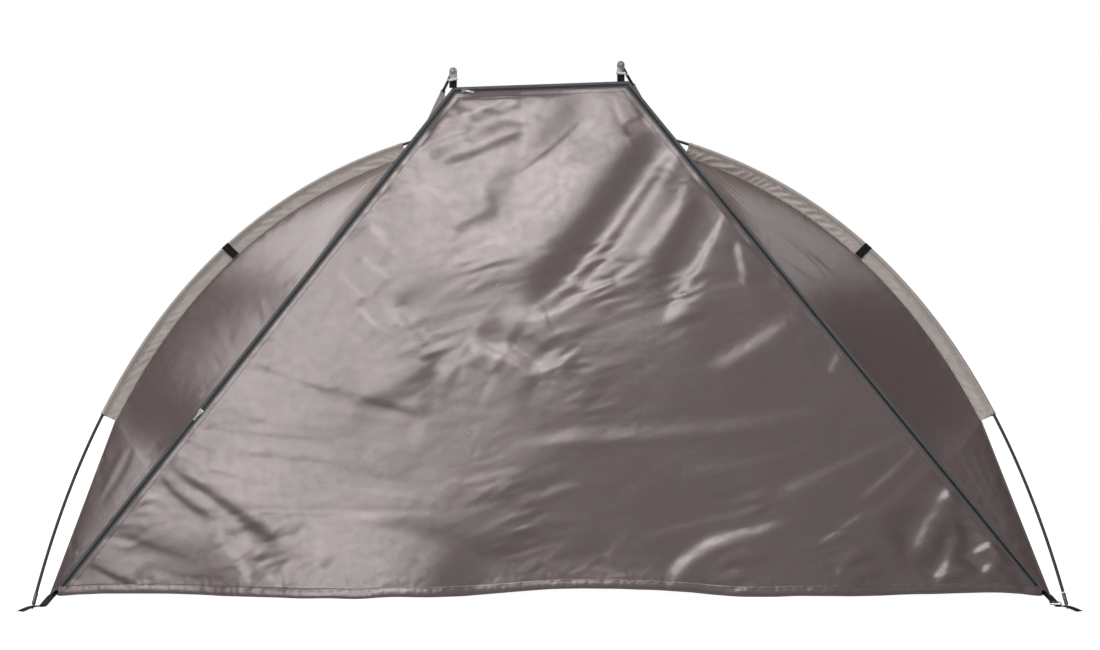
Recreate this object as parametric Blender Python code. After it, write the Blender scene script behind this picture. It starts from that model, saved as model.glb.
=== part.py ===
"""A beach tent with a zipped front, 2.5 m wide, standing closed on its poles.

One long pole arches over the front from foot to foot. Two shorter poles rise from the rear
corners and run forward over the roof to the top corners of the door, where each ends in an
eyelet plate that holds the canopy up by a strap. Lengths are in metres, +Z is up, +X is to
the right of someone who looks at the door, and +Y runs from the door towards the back.
"""

import math

import bmesh
import bpy
from mathutils import Matrix, Vector
from mathutils.geometry import interpolate_bezier, intersect_line_line

# Where things stand: the origin is on the ground, in the middle of the floor
ORIGIN_BEHIND_HEM = 0.55
HEM_RADIUS = 0.003
HEM_HALF_LENGTH = 1.236

# The door, a trapezoid that leans back from its hem
DOOR_LEAN = math.radians(15)
DOOR_HALF_WIDTH = 1.25
DOOR_TOP_LEFT = (-0.252, 1.325)
DOOR_TOP_RIGHT = (0.204, 1.342)

# The zip: a tape on each side of the seam, with the chain's gap between them
ZIP_HALF_GAP = 0.0025
ZIP_TAPE_EDGE = 0.0085
ZIP_THICKNESS = 0.003
ZIP_LOWEST = 0.012

# The front pole lies in a plane that leans back, and its curve is one Bezier on each side
ARCH_FOOT_BEHIND_HEM = -0.15
ARCH_LEAN = math.radians(32)
ARCH_HALF_SPAN = 1.2706
ARCH_HEIGHT = 1.4245
ARCH_FOOT_TURN_IN = 0.129
ARCH_FOOT_HANDLE = 1.319
ARCH_TOP_HANDLE = 0.2505
ARCH_TOP_SHIFT = -0.012
ARCH_STATIONS = 31
ARCH_SLEEVE_STATIONS = (8, 25)

# The rear poles, each in the upright plane through its foot and its tip in line with the door
REAR_FOOT = (0.66, 1.16)
LEFT_TIP = (-0.257, 1.380)
RIGHT_TIP = (0.188, 1.3975)
REAR_TIP_SLOPE = math.radians(36.5)
REAR_FOOT_SLOPE = math.radians(82)
REAR_TIP_HANDLE = 0.62
REAR_FOOT_HANDLE = 0.55
REAR_STATIONS = 20
REAR_SLEEVE_STATIONS = (1, 19)
CROSSING_LENGTH = 0.33
PANEL_BELOW_CROSSING = 0.06

# Poles, their metal ends and the sleeves that hold them
POLE_RADIUS = 0.00395
POLE_BEVEL_STEPS = 2
TIP_RADIUS = 0.0048
TIP_LENGTH = 0.030
NIB_RADIUS = 0.002
NIB_LENGTH = 0.012
NIB_GROUND_GAP = 0.0015
NIB_PAST_PLATE = 0.006
SLEEVE_RADIUS = 0.0056
SLEEVE_BORE = 0.00475
SLEEVE_WIDTH = 0.037
SEAM_HALF_THICKNESS = 0.0008

# Fabric, drawn thicker than it is so that it is a solid
FABRIC = 0.002
SEAM_INSET = 0.0028
TOUCH = 0.0003
PANEL_FOOT_HEIGHT = 0.0029
FLOOR_FRONT = 0.0036
SIDE_SAG = 0.030
GUSSET_SAG = 0.012
ROOF_SAG = 0.022

# Straps, plates and small fittings
WEBBING_WIDTH = 0.020
WEBBING_THICKNESS = 0.0016
STRAP_HEIGHT = 0.007
FRONT_HOLE_RADIUS = 0.0036
REAR_HOLE_RADIUS = 0.0028
STRAP_END_HEIGHT = 0.0035
SEWN_END_HEIGHT = 0.0012
PLATE_WIDTH = 0.020
PLATE_THICKNESS = 0.0015
PLATE_BELOW_HOLE = 0.020
PLATE_HOLE_RADIUS = 0.0036
BAR_SIZE = (0.025, 0.007, 0.0035)
RING_WIDTH = 0.026
RING_WIRE = 0.0012
TAB_WIDTH = 0.021
TAB_THICKNESS = 0.0012
TAB_STATION = 16

# Sliders of the zip
LEFT_SLIDER_UP_SEAM = 0.583
TOP_SLIDER_FROM_CORNER = 0.026
SLIDER_LENGTH = 0.018
SLIDER_HALF_WIDTH = 0.0065
SLIDER_PLATE = 0.002
SLIDER_CLEARANCE = 0.0008
PULL_SIZE = (0.007, 0.030, 0.0012)


def clear_scene():
    for item in list(bpy.data.objects):
        bpy.data.objects.remove(item)


def finish(name, colour, roughness, metallic=0.0):
    """A plain material with the colour and the gloss of the real surface."""
    material = bpy.data.materials.new(name)
    material.use_nodes = True
    shader = material.node_tree.nodes["Principled BSDF"]
    shader.inputs["Base Color"].default_value = (*colour, 1.0)
    shader.inputs["Roughness"].default_value = roughness
    shader.inputs["Metallic"].default_value = metallic
    material.diffuse_color = (*colour, 1.0)
    return material


def at(across, behind_hem, up):
    """A point by its distance from the middle, behind the hem of the door, and above the ground."""
    return Vector((across, behind_hem - ORIGIN_BEHIND_HEM, up))


def add(name, mesh, material, parent=None, smooth=False):
    """One named object with one material, placed under its parent."""
    mesh.name = name
    item = bpy.data.objects.new(name, mesh)
    bpy.context.scene.collection.objects.link(item)
    mesh.materials.append(material)
    if smooth:
        mesh.shade_smooth()
        mesh.set_sharp_from_angle(angle=math.radians(40))
    item.parent = parent
    return item


def empty(name, matrix, parent=None):
    """A guide that marks a joint, with the moving pieces under it."""
    item = bpy.data.objects.new(name, None)
    bpy.context.scene.collection.objects.link(item)
    item.parent = parent
    item.matrix_local = matrix
    return item


def mesh_from(bm):
    bmesh.ops.recalc_face_normals(bm, faces=bm.faces)
    mesh = bpy.data.meshes.new("piece")
    bm.to_mesh(mesh)
    bm.free()
    return mesh


def prism(outline, push):
    """A flat outline pushed along one direction."""
    bm = bmesh.new()
    face = bm.faces.new([bm.verts.new(point) for point in outline])
    pushed = bmesh.ops.extrude_face_region(bm, geom=[face])["geom"]
    corners = [part for part in pushed if isinstance(part, bmesh.types.BMVert)]
    bmesh.ops.translate(bm, vec=push, verts=corners)
    return mesh_from(bm)


def along(points, length):
    """The point on a chain of straight stretches at a length from its start."""
    for start, end in zip(points, points[1:]):
        step = (end - start).length
        if length <= step:
            return start.lerp(end, length / step)
        length -= step
    return points[-1].copy()


def chain_length(points):
    return sum((end - start).length for start, end in zip(points, points[1:]))


def spaced(points, count):
    """The same chain with count equal stretches."""
    total = chain_length(points)
    return [along(points, total * index / count) for index in range(count + 1)]


def rod(name, points, radius, material, closed=False, bevel_steps=POLE_BEVEL_STEPS):
    """A round bar along a chain of points."""
    curve = bpy.data.curves.new(name, "CURVE")
    curve.dimensions = "3D"
    curve.bevel_depth = radius
    curve.bevel_resolution = bevel_steps
    curve.use_fill_caps = not closed
    spline = curve.splines.new("POLY")
    spline.points.add(len(points) - 1)
    for knot, point in zip(spline.points, points):
        knot.co = (*point, 1.0)
    spline.use_cyclic_u = closed
    item = bpy.data.objects.new(name, curve)
    bpy.context.scene.collection.objects.link(item)
    curve.materials.append(material)
    return item


def turned(name, start, direction, profile, material, sides=12):
    """A turned piece: radius and length pairs along a straight axis."""
    bm = bmesh.new()
    turn = direction.to_track_quat("Z", "Y").to_matrix().to_4x4()
    rings = []
    for radius, length in profile:
        place = Matrix.Translation(start) @ turn @ Matrix.Translation((0, 0, length))
        ring = bmesh.ops.create_circle(bm, segments=sides, radius=radius, matrix=place)["verts"]
        rings.append(ring)
    for lower, upper in zip(rings, rings[1:]):
        for index in range(sides):
            after = (index + 1) % sides
            bm.faces.new((lower[index], lower[after], upper[after], upper[index]))
    bm.faces.new(rings[0])
    bm.faces.new(rings[-1])
    return add(name, mesh_from(bm), material, smooth=True)


def pole_tip(name, end, direction, nib_start, material):
    """The metal end of a pole: a thin nib, a shoulder, and the cap that the rod stands in."""
    shoulder = nib_start + NIB_LENGTH
    profile = (
        (NIB_RADIUS, nib_start),
        (NIB_RADIUS, shoulder),
        (TIP_RADIUS, shoulder),
        (TIP_RADIUS, shoulder + TIP_LENGTH),
    )
    turned(name, end, direction, profile, material)
    return shoulder + TIP_LENGTH + TOUCH


def sleeve(name, pole, seam, material):
    """A fabric channel: a tube round the pole with a flat tail that reaches the seam."""
    bm = bmesh.new()
    outer_rings = []
    bore_rings = []
    for index, (centre, edge) in enumerate(zip(pole, seam)):
        before = pole[max(index - 1, 0)]
        after = pole[min(index + 1, len(pole) - 1)]
        tangent = (after - before).normalized()
        across = tangent.cross(edge - centre).normalized()
        inward = across.cross(tangent)
        reach = (edge - centre).dot(inward)
        outline = []
        for step in range(1, 8):
            angle = math.radians(45 * step)
            outline.append((SLEEVE_RADIUS * math.cos(angle), SLEEVE_RADIUS * math.sin(angle)))
        tail_start = 2 * SLEEVE_RADIUS
        outline.append((tail_start, -SEAM_HALF_THICKNESS))
        outline.append((reach, -SEAM_HALF_THICKNESS))
        outline.append((reach, SEAM_HALF_THICKNESS))
        outline.append((tail_start, SEAM_HALF_THICKNESS))
        outer_rings.append([bm.verts.new(centre + inward * w + across * b) for w, b in outline])
        bore = []
        for step in range(8):
            angle = math.radians(45 * step)
            offset = inward * math.cos(angle) + across * math.sin(angle)
            bore.append(bm.verts.new(centre + offset * SLEEVE_BORE))
        bore_rings.append(bore)
    for rings in (outer_rings, bore_rings):
        for lower, upper in zip(rings, rings[1:]):
            count = len(lower)
            for index in range(count):
                after = (index + 1) % count
                bm.faces.new((lower[index], lower[after], upper[after], upper[index]))
    for place in (0, -1):
        rim = ring_edges(bm, outer_rings[place]) + ring_edges(bm, bore_rings[place])
        bmesh.ops.triangle_fill(bm, edges=rim, use_beauty=True, use_dissolve=False)
    return add(name, mesh_from(bm), material, smooth=True)


def ring_edges(bm, ring):
    return [bm.edges.get((ring[index - 1], ring[index])) for index in range(len(ring))]


def matched(line, chain):
    """Points along a line at the same shares of its length as the points of a chain."""
    whole = chain_length(line)
    total = chain_length(chain)
    reached = 0.0
    points = [line[0].copy()]
    for start, end in zip(chain, chain[1:]):
        reached += (end - start).length
        points.append(along(line, whole * min(reached / total, 1.0)))
    return points


def panel(name, first, second, columns, sag, material):
    """A sheet of fabric between two edges, drawn in or out at its middle by the sag."""
    rows = len(second) - 1
    middle = rows // 2
    down = (first[-1] + second[-1]) - (first[0] + second[0])
    normal = down.cross(second[middle] - first[middle]).normalized()
    bm = bmesh.new()
    bmesh.ops.create_grid(bm, x_segments=rows, y_segments=columns, size=0.5)
    for vert in bm.verts:
        row = round((vert.co.x + 0.5) * rows)
        share = vert.co.y + 0.5
        across = second[row] - first[row]
        inset = across.normalized() * SEAM_INSET
        start = first[row] + inset
        end = second[row] - inset
        bulge = sag * math.sin(math.pi * row / rows) * math.sin(math.pi * share)
        vert.co = start.lerp(end, share) + normal * bulge
    item = add(name, mesh_from(bm), material, smooth=True)
    thicken = item.modifiers.new("thickness", "SOLIDIFY")
    thicken.thickness = FABRIC
    thicken.offset = 0.0
    return item


def ribbon(name, path, width, thickness, material):
    """A flat strap along a path near the ground."""
    bm = bmesh.new()
    sides = []
    for index, point in enumerate(path):
        before = path[max(index - 1, 0)]
        after = path[min(index + 1, len(path) - 1)]
        heading = after - before
        aside = Vector((-heading.y, heading.x, 0)).normalized() * width / 2
        raise_by = Vector((0, 0, thickness / 2))
        ring = [point + aside + raise_by, point - aside + raise_by]
        ring += [point - aside - raise_by, point + aside - raise_by]
        sides.append([bm.verts.new(corner) for corner in ring])
    for lower, upper in zip(sides, sides[1:]):
        for index in range(4):
            after = (index + 1) % 4
            bm.faces.new((lower[index], lower[after], upper[after], upper[index]))
    bm.faces.new(sides[0])
    bm.faces.new(sides[-1])
    return add(name, mesh_from(bm), material)


def cut_hole(item, centre, direction, radius):
    """A round hole right through a thin piece."""
    turn = direction.to_track_quat("Z", "Y").to_matrix().to_4x4()
    bm = bmesh.new()
    place = Matrix.Translation(centre) @ turn
    bmesh.ops.create_cone(
        bm, cap_ends=True, segments=12, radius1=radius, radius2=radius, depth=0.02, matrix=place
    )
    mesh = mesh_from(bm)
    cutter = bpy.data.objects.new(item.name + "_cutter", mesh)
    bpy.context.scene.collection.objects.link(cutter)
    cutter.hide_render = True
    cutter.display_type = "WIRE"
    cut = item.modifiers.new("hole", "BOOLEAN")
    cut.operation = "DIFFERENCE"
    cut.solver = "EXACT"
    cut.object = cutter


def lines_cross(start_a, end_a, start_b, end_b):
    """Where two lines in the plane of the door meet."""
    return intersect_line_line(start_a, end_a, start_b, end_b)[0]


def door_corners(inset, bottom):
    """The door's corners in its own plane, moved in from the seam, with its foot cut level."""
    corners = [
        Vector((-DOOR_HALF_WIDTH, 0, 0)),
        Vector((*DOOR_TOP_LEFT, 0)),
        Vector((*DOOR_TOP_RIGHT, 0)),
        Vector((DOOR_HALF_WIDTH, 0, 0)),
    ]
    edges = []
    for start, end in zip(corners, corners[1:]):
        heading = (end - start).normalized()
        inward = Vector((heading.y, -heading.x, 0)) * inset
        edges.append((start + inward, end + inward))
    foot = (Vector((-2, bottom, 0)), Vector((2, bottom, 0)))
    left, top, right = edges
    return [
        lines_cross(*left, *foot),
        lines_cross(*left, *top),
        lines_cross(*top, *right),
        lines_cross(*right, *foot),
    ]


def zip_tapes(prefix, near, far, bottom, material, parent, place):
    """Three straight tapes round the door, mitred where they meet."""
    near_corners = door_corners(near, bottom)
    far_corners = door_corners(far, bottom)
    for index, side in enumerate(("left", "top", "right")):
        inner = [near_corners[index], near_corners[index + 1]]
        outer = [far_corners[index], far_corners[index + 1]]
        heading = (inner[1] - inner[0]).normalized() * 2 * TOUCH
        if side != "left":
            inner[0] = inner[0] + heading
            outer[0] = outer[0] + heading
        if side != "right":
            inner[1] = inner[1] - heading
            outer[1] = outer[1] - heading
        sink = Vector((0, 0, -ZIP_THICKNESS / 2))
        outline = [place @ (point + sink) for point in (*inner, outer[1], outer[0])]
        push = place.to_3x3() @ Vector((0, 0, ZIP_THICKNESS))
        add(f"{prefix}_{side}", prism(outline, push), material, parent)


def slider(name, spot, heading, inward, material, hinge):
    """A zip slider: plates before and behind the door's tape, joined through the gap, and its pull."""
    inner_face = ZIP_THICKNESS / 2 + SLIDER_CLEARANCE
    outer_face = inner_face + SLIDER_PLATE
    neck = 0.001
    outline = (
        (-SLIDER_HALF_WIDTH, inner_face),
        (-SLIDER_HALF_WIDTH, outer_face),
        (SLIDER_HALF_WIDTH, outer_face),
        (SLIDER_HALF_WIDTH, inner_face),
        (neck, inner_face),
        (neck, -inner_face),
        (SLIDER_HALF_WIDTH, -inner_face),
        (SLIDER_HALF_WIDTH, -outer_face),
        (-neck, -outer_face),
        (-neck, inner_face),
    )
    back = heading * -SLIDER_LENGTH / 2
    corners = [back + inward * side + Vector((0, 0, out)) for side, out in outline]
    body = add(name, prism(corners, heading * SLIDER_LENGTH), material, hinge)
    body.location = spot
    pull_width, pull_length, pull_thickness = PULL_SIZE
    start = Vector((0, 0, outer_face + TOUCH)) + heading * SLIDER_LENGTH / 4
    outline = []
    for along_pull, side in ((0, -1), (0, 1), (1, 0.7), (1, -0.7)):
        reach = heading * -pull_length * along_pull
        outline.append(start + reach + inward * side * pull_width / 2)
    pull = prism(outline, Vector((0, 0, pull_thickness)))
    piece = add(name.replace("slider", "pull_tab"), pull, material, hinge)
    piece.location = spot


def arch_points():
    """The front pole from its left foot to its right foot, in equal stretches."""
    lean = Vector((0, math.sin(ARCH_LEAN), math.cos(ARCH_LEAN)))
    foot = Vector((ARCH_HALF_SPAN, 0, 0))
    turn_in = Vector((-math.sin(ARCH_FOOT_TURN_IN), math.cos(ARCH_FOOT_TURN_IN), 0))
    top = Vector((0, ARCH_HEIGHT, 0))
    handles = (foot + turn_in * ARCH_FOOT_HANDLE, top + Vector((ARCH_TOP_HANDLE, 0, 0)))
    half = spaced(interpolate_bezier(foot, *handles, top, 300), ARCH_STATIONS)
    flat = [Vector((-point.x, point.y, 0)) for point in half]
    flat += list(reversed(half[:-1]))
    start = at(0, ARCH_FOOT_BEHIND_HEM, 0)
    placed = []
    for point in flat:
        shift = ARCH_TOP_SHIFT * point.y / ARCH_HEIGHT
        placed.append(start + Vector((point.x + shift, 0, 0)) + lean * point.y)
    return placed


def rear_points(side, start):
    """A rear pole from its tip at the door's top corner down to its foot."""
    foot = at(side * REAR_FOOT[0], REAR_FOOT[1], 0)
    level = (foot - start) * Vector((1, 1, 0))
    level.normalize()
    up = Vector((0, 0, 1))
    leave = level * math.cos(REAR_TIP_SLOPE) - up * math.sin(REAR_TIP_SLOPE)
    arrive = level * math.cos(REAR_FOOT_SLOPE) - up * math.sin(REAR_FOOT_SLOPE)
    handles = (start + leave * REAR_TIP_HANDLE, foot - arrive * REAR_FOOT_HANDLE)
    return spaced(interpolate_bezier(start, *handles, foot, 300), REAR_STATIONS)


def seam_beside(pole, inside):
    """The seam that a sleeve is sewn to, a sleeve's width from its pole towards the inside."""
    seam = []
    for index, point in enumerate(pole):
        tangent = (pole[min(index + 1, len(pole) - 1)] - pole[max(index - 1, 0)]).normalized()
        inward = inside - point
        inward = (inward - tangent * inward.dot(tangent)).normalized()
        seam.append(point + inward * SLEEVE_WIDTH)
    return seam


def flat_inside(pole):
    """A point in the plane of a bent pole, well inside its curve."""
    return (pole[0] + pole[-1]) / 2


def build_poles(arch, rears, fibre, steel):
    """The rods and their metal ends."""
    total = chain_length(arch)
    reach = 0.0
    for side, ends in (("left", arch[:2]), ("right", arch[:-3:-1])):
        direction = (ends[1] - ends[0]).normalized()
        reach = pole_tip(f"{side}_arch_foot", ends[0], direction, NIB_GROUND_GAP, steel)
    inner = [along(arch, reach)] + arch[1:-1] + [along(arch, total - reach)]
    rod("arch_pole", inner, POLE_RADIUS, fibre)
    for side, pole in rears.items():
        direction = (pole[1] - pole[0]).normalized()
        top = pole_tip(f"{side}_top_tip", pole[0], direction, -NIB_PAST_PLATE, steel)
        direction = (pole[-2] - pole[-1]).normalized()
        bottom = pole_tip(f"{side}_rear_foot", pole[-1], direction, NIB_GROUND_GAP, steel)
        total = chain_length(pole)
        inner = [along(pole, top)] + pole[1:-1] + [along(pole, total - bottom)]
        rod(f"{side}_rear_pole", inner, POLE_RADIUS, fibre)


def build_fabric(arch, rears, hinge_frame, cloth, sleeve_cloth, floor_cloth):
    """Sleeves, panels and the groundsheet."""
    first, last = ARCH_SLEEVE_STATIONS
    arch_seam = seam_beside(arch, flat_inside(arch))
    outer_corners = door_corners(-ZIP_TAPE_EDGE - TOUCH, ZIP_LOWEST)
    outer_corners = [hinge_frame @ corner for corner in outer_corners]
    floor_corners = {}
    roof_edges = {}
    for side, sign in (("left", -1), ("right", 1)):
        stretch = slice(first, last + 1)
        pole = arch if side == "left" else arch[::-1]
        seam = arch_seam if side == "left" else arch_seam[::-1]
        sleeve(f"{side}_arch_sleeve", pole[stretch], seam[stretch], sleeve_cloth)
        front_edge = seam[stretch][::-1]

        pole = rears[side]
        seam = seam_beside(pole, flat_inside(pole))
        start, end = REAR_SLEEVE_STATIONS
        sleeve(f"{side}_rear_sleeve", pole[start : end + 1], seam[start : end + 1], sleeve_cloth)
        floor_corner = seam[-1].copy()
        floor_corner.z = PANEL_FOOT_HEIGHT
        floor_corners[side] = floor_corner
        rear_seam = seam[start : end + 1]

        door_corner = outer_corners[1] if side == "left" else outer_corners[2]
        hem_corner = outer_corners[0] if side == "left" else outer_corners[3]
        tent_corner = at(sign * (DOOR_HALF_WIDTH + 0.014), 0.002, PANEL_FOOT_HEIGHT)
        crossing = along(rear_seam, CROSSING_LENGTH)
        above = [point for point in rear_seam if (point - rear_seam[0]).length < CROSSING_LENGTH]
        below = [point for point in rear_seam if point not in above]

        gusset_edge = [door_corner.lerp(rear_seam[0], 0.2), *above, crossing]
        gusset_edge += front_edge + [tent_corner]
        seam_line = matched([door_corner, hem_corner], gusset_edge)
        panel(f"{side}_gusset", seam_line, gusset_edge, 4, sign * GUSSET_SAG, cloth)

        side_front = front_edge + [tent_corner]
        side_rear = matched([crossing] + below + [floor_corner], side_front)
        for edge in (side_front, side_rear):
            edge[0] = edge[0].lerp(edge[1], PANEL_BELOW_CROSSING)
        panel(f"{side}_side_panel", side_rear, side_front, 6, sign * SIDE_SAG, cloth)
        behind_zip = door_corner + Vector((0, 0.0026, 0.0006))
        roof_edges[side] = [behind_zip, *rear_seam, floor_corner]
    panel("roof_panel", roof_edges["left"], roof_edges["right"], 6, -ROOF_SAG, cloth)

    rear_left = floor_corners["left"]
    rear_right = floor_corners["right"]
    outline = [
        at(-DOOR_HALF_WIDTH, FLOOR_FRONT, 0),
        at(DOOR_HALF_WIDTH, FLOOR_FRONT, 0),
        Vector((rear_right.x, rear_right.y, 0)),
        Vector((rear_left.x, rear_left.y, 0)),
    ]
    add("groundsheet", prism(outline, Vector((0, 0, FABRIC))), floor_cloth)
    return floor_corners


def build_door(hinge, frame, cloth, tape, steel):
    """The door with its half of the zip and both sliders, and the tent's half of the zip."""
    sink = Vector((0, 0, -FABRIC / 2))
    inset = ZIP_TAPE_EDGE + TOUCH
    foot = HEM_RADIUS + 2 * TOUCH
    outline = [corner + sink for corner in door_corners(inset, foot)]
    add("door_panel", prism(outline, Vector((0, 0, FABRIC))), cloth, hinge)
    unmoved = Matrix.Identity(4)
    zip_tapes("door_zip", ZIP_HALF_GAP, ZIP_TAPE_EDGE, foot, tape, hinge, unmoved)
    zip_tapes("tent_zip", -ZIP_HALF_GAP, -ZIP_TAPE_EDGE, ZIP_LOWEST, tape, None, frame)

    corners = door_corners(0, 0)
    heading = (corners[1] - corners[0]).normalized()
    inward = Vector((heading.y, -heading.x, 0))
    spot = corners[0] + heading * LEFT_SLIDER_UP_SEAM
    slider("left_slider", spot, heading, inward, steel, hinge)
    heading = (corners[1] - corners[2]).normalized()
    inward = Vector((-heading.y, heading.x, 0))
    spot = corners[1] - heading * TOP_SLIDER_FROM_CORNER
    slider("top_slider", spot, heading, inward, steel, hinge)

    ends = [at(sign * HEM_HALF_LENGTH, 0, HEM_RADIUS) for sign in (-1, 1)]
    rod("hem_roll", ends, HEM_RADIUS, cloth, bevel_steps=3)


def build_top_fittings(rears, frame, steel, webbing):
    """The eyelet plate on each rear pole's tip, its folded bar, and the strap to the canopy."""
    turn = frame.to_3x3()
    up = turn @ Vector((0, 1, 0))
    out = turn @ Vector((0, 0, 1))
    aside = Vector((1, 0, 0))
    corners = [frame @ corner for corner in door_corners(-ZIP_TAPE_EDGE - TOUCH, 0)]
    for side, corner in (("left", corners[1]), ("right", corners[2])):
        centre = rears[side][0]
        half = PLATE_WIDTH / 2
        outline = []
        for step in range(9):
            angle = math.pi * step / 8
            outline.append((half * math.cos(angle), half * math.sin(angle)))
        outline += [(-half, -PLATE_BELOW_HOLE), (half, -PLATE_BELOW_HOLE)]
        back = out * -PLATE_THICKNESS / 2
        points = [centre + back + aside * x + up * y for x, y in outline]
        plate = add(f"{side}_eyelet_plate", prism(points, out * PLATE_THICKNESS), steel)
        cut_hole(plate, centre, out, PLATE_HOLE_RADIUS)

        width, height, depth = BAR_SIZE
        top = centre - up * (PLATE_BELOW_HOLE + TOUCH)
        points = []
        for x, y in ((-1, 0), (1, 0), (1, -height), (-1, -height)):
            points.append(top + aside * x * width / 2 + up * y - out * depth / 2)
        add(f"{side}_strap_bar", prism(points, out * depth), steel)

        top = top - up * (height + TOUCH)
        foot = top - up * ((top - corner).dot(up) - 2 * TOUCH)
        points = []
        for point, x in ((top, -1), (top, 1), (foot, 1), (foot, -1)):
            points.append(point + aside * x * WEBBING_WIDTH / 2 - out * WEBBING_THICKNESS / 2)
        add(f"{side}_top_strap", prism(points, out * WEBBING_THICKNESS), webbing)


def strap_with_eyelet(name, start, sewn, hole, tail, hole_radius, webbing):
    """A strap from its sewn or ringed end up to the eyelet on a pole's nib, and down to its tail."""
    level = Vector((1, 1, 0))
    outward = ((hole - start) * level).normalized()
    path = [start, start + outward * sewn, hole - outward * 0.009, hole + outward * 0.009, tail]
    item = ribbon(name, path, WEBBING_WIDTH, WEBBING_THICKNESS, webbing)
    cut_hole(item, hole, Vector((0, 0, 1)), hole_radius)


def build_ground_straps(arch, rears, floor_corners, webbing, steel):
    """The eyelet straps at the four corners, and what ties the front ones to the canopy."""
    for side, sign in (("left", -1), ("right", 1)):
        first, second = (arch[0], arch[1]) if side == "left" else (arch[-1], arch[-2])
        rise = (second - first).normalized()
        hole = first + rise * (STRAP_HEIGHT / rise.z)
        inner = hole + Vector((-sign * 0.020, 0.026, 0))
        inner.z = STRAP_END_HEIGHT
        tail = hole + Vector((sign * 0.021, -0.036, 0))
        tail.z = STRAP_END_HEIGHT
        name = f"{side}_front_strap"
        strap_with_eyelet(name, inner, 0.012, hole, tail, FRONT_HOLE_RADIUS, webbing)

        corner_x = sign * (DOOR_HALF_WIDTH + WEBBING_WIDTH / 2 + 2 * TOUCH)
        path = [at(corner_x, 0.022, SEWN_END_HEIGHT), at(corner_x, -0.008, SEWN_END_HEIGHT)]
        if side == "left":
            over = STRAP_END_HEIGHT + WEBBING_THICKNESS + TOUCH
            end = inner + (inner - path[1]).normalized() * 0.007
            path += [Vector((inner.x, inner.y + 0.006, over)), Vector((end.x, end.y, over))]
        else:
            before_ring = inner + Vector((0.004, 0.030, 0))
            path += [before_ring + Vector((0.001, 0.012, 0)), before_ring]
            build_ring(before_ring, inner, steel)
        ribbon(f"{side}_corner_strap", path, WEBBING_WIDTH, WEBBING_THICKNESS, webbing)

        pole = rears[side]
        rise = (pole[-2] - pole[-1]).normalized()
        hole = pole[-1] + rise * (STRAP_HEIGHT / rise.z)
        outward = ((hole - floor_corners[side]) * Vector((1, 1, 0))).normalized()
        start = floor_corners[side] + outward * 2 * TOUCH
        start.z = SEWN_END_HEIGHT
        tail = hole + outward * 0.034
        tail.z = STRAP_END_HEIGHT
        name = f"{side}_rear_strap"
        strap_with_eyelet(name, start, 0.008, hole, tail, REAR_HOLE_RADIUS, webbing)


def build_ring(near, far, steel):
    """The wire ring over the facing ends of the right corner strap and its eyelet strap."""
    heading = (far - near).normalized()
    aside = Vector((-heading.y, heading.x, 0))
    lift = Vector((0, 0, WEBBING_THICKNESS / 2 + RING_WIRE + TOUCH))
    middle = near.lerp(far, 0.5) + lift
    half_length = (far - near).length / 2 + 2 * RING_WIRE
    round_off = 0.006
    points = []
    for turn in range(4):
        out_sign = 1 if turn in (0, 3) else -1
        side_sign = 1 if turn in (0, 1) else -1
        centre = middle + heading * out_sign * (half_length - round_off)
        centre += aside * side_sign * (RING_WIDTH / 2 - round_off)
        for step in range(4):
            angle = math.radians(90 * turn + 30 * step)
            swing = heading * math.cos(angle) + aside * math.sin(angle)
            points.append(centre + swing * round_off)
    rod("right_strap_ring", points, RING_WIRE, steel, closed=True, bevel_steps=2)


def build_hook_tabs(arch, webbing):
    """The dark tab that wraps each front sleeve."""
    inside = flat_inside(arch)
    for side, pole in (("left", arch), ("right", arch[::-1])):
        start, end = pole[TAB_STATION], pole[TAB_STATION + 1]
        heading = (end - start).normalized()
        middle = start.lerp(end, 0.5)
        inward = inside - middle
        inward = (inward - heading * inward.dot(heading)).normalized()
        front = heading.cross(inward)
        if front.y > 0:
            front = -front
        near = SLEEVE_RADIUS + TOUCH
        far = near + TAB_THICKNESS
        lap = SEAM_HALF_THICKNESS + 2 * TOUCH
        inner = [(near * math.cos(a), near * math.sin(a)) for a in tab_angles()]
        outer = [(far * math.cos(a), far * math.sin(a)) for a in tab_angles()]
        reach = SLEEVE_WIDTH - 0.001
        inner += [(2.4 * SLEEVE_RADIUS, lap), (reach, lap)]
        outer += [(2.4 * SLEEVE_RADIUS, lap + TAB_THICKNESS), (reach, lap + TAB_THICKNESS)]
        corner = middle - heading * TAB_WIDTH / 2
        outline = [corner + inward * w + front * b for w, b in inner + outer[::-1]]
        add(f"{side}_hook_tab", prism(outline, heading * TAB_WIDTH), webbing)


def tab_angles():
    """Directions round the outside of the pole, from behind it to its front."""
    return [math.radians(210 - 20 * step) for step in range(8)]


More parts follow.
